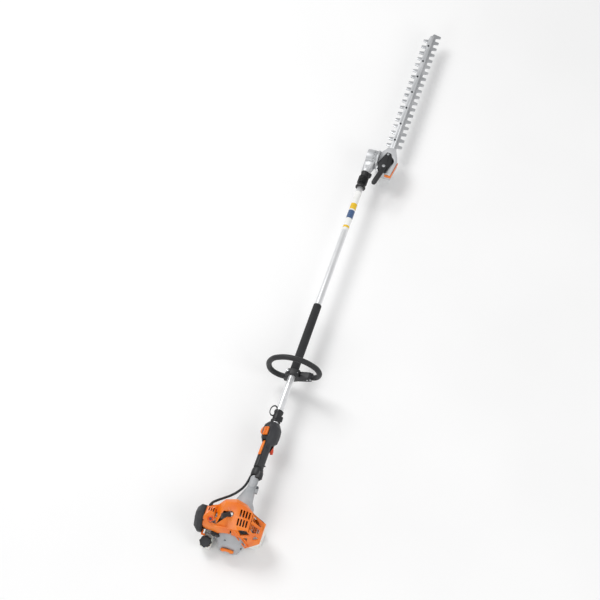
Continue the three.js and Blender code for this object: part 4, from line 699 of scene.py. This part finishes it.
# %% Pole and foam
pole_bm = bmesh.new()
turned(pole_bm, [(10.7, 140.3), (12.4, 140.3), (POLE_RADIUS, 140.8), (POLE_RADIUS, 1607.2),
                 (12.4, 1607.7), (10.7, 1607.7), (10.7, 140.3)], (0, 0, AXIS), (0, 1, 0), steps=64)
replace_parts(to_object(pole_bm, "pole_tube", "machine", drawn_tube), "drive_tube")

foam_bm = bmesh.new()
FOAM_RADIUS = 15.9
BULGE = 0.25
profile = [(13.0, 640.5), (14.6, 640.5), (15.6, 642), (FOAM_RADIUS, 645)]
profile += [(FOAM_RADIUS + BULGE * math.sin(math.pi * i / 12), 645 + i * 286 / 12)
            for i in range(1, 12)]
profile += [(FOAM_RADIUS, 931), (15.6, 934), (14.6, 935.5), (13.0, 935.5), (13.0, 640.5)]
turned(foam_bm, profile, (0, 0, AXIS), (0, 1, 0), steps=64)
foam = to_object(foam_bm, "foam_sleeve", "machine", cell_foam)
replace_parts(foam, "foam_grip")


def film(name, start, end, spread, radius, material):
    """An arc of film on the pole's upper side, from one place along it to another."""
    bm = bmesh.new()
    turned(bm, [(radius, start), (radius + 0.15, start), (radius + 0.15, end), (radius, end),
                (radius, start)], (0, 0, AXIS), (0, 1, 0), steps=20, sweep=spread,
           start=-90.0 - spread / 2)
    bmesh.ops.holes_fill(bm, edges=[e for e in bm.edges if e.is_boundary], sides=0)
    bmesh.ops.recalc_face_normals(bm, faces=bm.faces)
    return to_object(bm, name, "machine", material)


film("label_ground", 1290, 1480, 220, 12.75, white_film)
film("label_band_yellow", 1392, 1420, 220, 12.95, yellow_film)
film("label_band_blue", 1348, 1386, 200, 12.95, blue_film)
film("label_edge_yellow", 1302, 1312, 220, 12.95, yellow_film)

softened("hanger", "carrying_ring", black_nylon, 0.9, 2)

# %% [markdown]
# ## Loop handle
# The loop is a bent steel tube under a thick rubber sheath. A clamp in two halves holds it on the
# pole, with a cap screw at each side. A smooth curve with a round section gives the loop.

# %% Loop and clamp
LOOP = [(-17, -33), (-34, -36), (-58, -33), (-82, -16), (-92, 14), (-85, 58), (-55, 95), (8, 117),
        (68, 102), (99, 66), (96, 28), (80, 12), (62, 8)]
loop_points = [(x, LOOP_PLACE, AXIS + z) for x, z in LOOP]
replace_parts(smooth_tube("loop_sheath", loop_points, 10.4, "machine", moulded_rubber, 10),
            "loop_handle")
softened("loop_clamp_lower", "clamp_saddle", black_nylon, 1.6, 3)
softened("loop_clamp_upper", "clamp_cap", black_nylon, 1.4, 3)
cap_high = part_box("loop_clamp_upper")[1]
loop_screws = bmesh.new()
for x in (-18, 18):
    screw(loop_screws, (x, LOOP_PLACE, cap_high.z / MM - 7), (0, 0, 1), 4.4, 4.0)
for x, z in ((60, 104), (72, 108)):
    screw(loop_screws, (x, LOOP_PLACE - 13.5, z), (0, -1, 0), 3.6, 2.6)
to_object(loop_screws, "loop_cap_screws", "machine", bearing_steel)
print("loop made")

# %% [markdown]
# ## Sliding sleeve and gear housing
# A black sleeve slides back to free the swivel. The gear housing behind it is die-cast aluminium
# with detent holes round its drum, which a pin drops into. The holes are drawn as shallow turned
# cups of dark steel that sit on the drum, because the drum itself is solid in the frame; their
# dark steel is painted shade standing in for the inside of the holes.

# %% Sleeve, gear housing and detents
softened("sliding_sleeve", "lock_sleeve", black_nylon, 1.1, 3)
softened("gear_housing", "angle_gear_case", cast_aluminium, 1.2, 3, 50)
ridge_bm = bmesh.new()
sleeve_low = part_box("sliding_sleeve")[0]
for i in range(5):
    y = sleeve_low.y / MM + 22 + i * 7
    ridge = [(17.4, y), (19.4, y), (19.9, y + 0.8), (19.9, y + 2.2), (19.4, y + 3), (17.4, y + 3),
             (17.4, y)]
    turned(ridge_bm, ridge, (0, 0, AXIS), (0, 1, 0), steps=40)
to_object(ridge_bm, "sleeve_ridges", "sleeve", black_nylon)

# Dark steel cups in place of the detent holes: painted shade for the holes' insides.
detent_bm = bmesh.new()
PIVOT = 1655.0
DRUM_RADIUS = 30.6
for angle in (62, 84, 106, 128):
    out = (0, math.cos(math.radians(angle)), math.sin(math.radians(angle)))
    socket = [(0, 3.6), (3.6, 3.6), (3.9, 4.6), (5.0, 5.4), (5.6, 5.2), (5.6, 3.0), (0, 3.0)]
    turned(detent_bm, socket, (15, PIVOT + DRUM_RADIUS * out[1], AXIS + DRUM_RADIUS * out[2]), out,
           steps=24)
to_object(detent_bm, "detent_sockets", "machine", oiled_steel)
print("sleeve and gear case made")

# %% [markdown]
# ## Cutter head
# The blade gear housing swings about the gear case. A black cover with a grease hole closes it, an
# adjusting lever lies on top, and an orange strip bumps against walls instead of the casting.

# %% Cutter housing, cover, lever and strip
softened("blade_gear_housing", "blade_gear_case", cast_aluminium, 1.6, 3, 50)
softened("gear_cover", "grease_cover", black_nylon, 1.6, 3)
softened("adjusting_handle", "swivel_lever", black_nylon, 1.8, 3)
softened("bumper_strip", "wall_bumper", orange_nylon, 1.2, 3)
head_bm = bmesh.new()
for x, y in ((42, 1600), (80, 1600), (44, 1640), (84, 1648)):
    screw(head_bm, (x, y, 116.6), (0, 0, 1), 3.2, 2.0)
to_object(head_bm, "cover_screws", "cutter_head", oiled_steel)
pivot_bm = bmesh.new()
turned(pivot_bm, [(0, 0), (6.4, 0), (6.4, 1.6), (5.8, 2.2), (3.0, 2.4), (2.6, 1.4), (0, 1.4)],
       (64, 1610, 129.2), (0, 0, 1), steps=32)
to_object(pivot_bm, "lever_pivot", "cutter_head", bearing_steel)
hole_bm = bmesh.new()
turned(hole_bm, [(0, 0), (4.6, 0), (4.6, 1.2), (4.0, 1.9), (2.6, 2.1), (0, 2.2)], (64, 1678, 116.9),
       (0, 0, 1), steps=32)
to_object(hole_bm, "grease_plug", "cutter_head", grey_nylon)
print("cutter head made")

# %% [markdown]
# ## Blades and bar
# Both blades are punched from steel plate and ground, so each edge has a narrow bright bevel. The
# bar above them is a rolled profile with a raised rib, held by a row of screws.

# %% Blades, bar, rib and screws
softened("upper_blade", "upper_cutting_blade", ground_steel, 0.8, 2, 30)
softened("lower_blade", "lower_cutting_blade", ground_steel, 0.8, 2, 30)
softened("blade_bar", "guide_bar", cast_aluminium, 0.7, 2, 30)
bar_low, bar_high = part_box("blade_bar")
rib_top = bar_high.z / MM - 1.4
rib_bm = bmesh.new()
bar(rib_bm, (72.0, bar_low.y / MM + 10, rib_top), (72.0, bar_high.y / MM - 12, rib_top), 6.4, 4.4,
    soft=1.6)
to_object(rib_bm, "bar_rib", "cutter_head", cast_aluminium)
screws_bm = bmesh.new()
for i in range(7):
    screw(screws_bm, (65.5, 1777 + i * 85, bar_high.z / MM - 0.4), (0, 0, 1), 4.2, 1.8)
to_object(screws_bm, "bar_screws", "cutter_head", oiled_steel)
print("blades made, bar length in mm:", round((bar_high.y - bar_low.y) / MM))
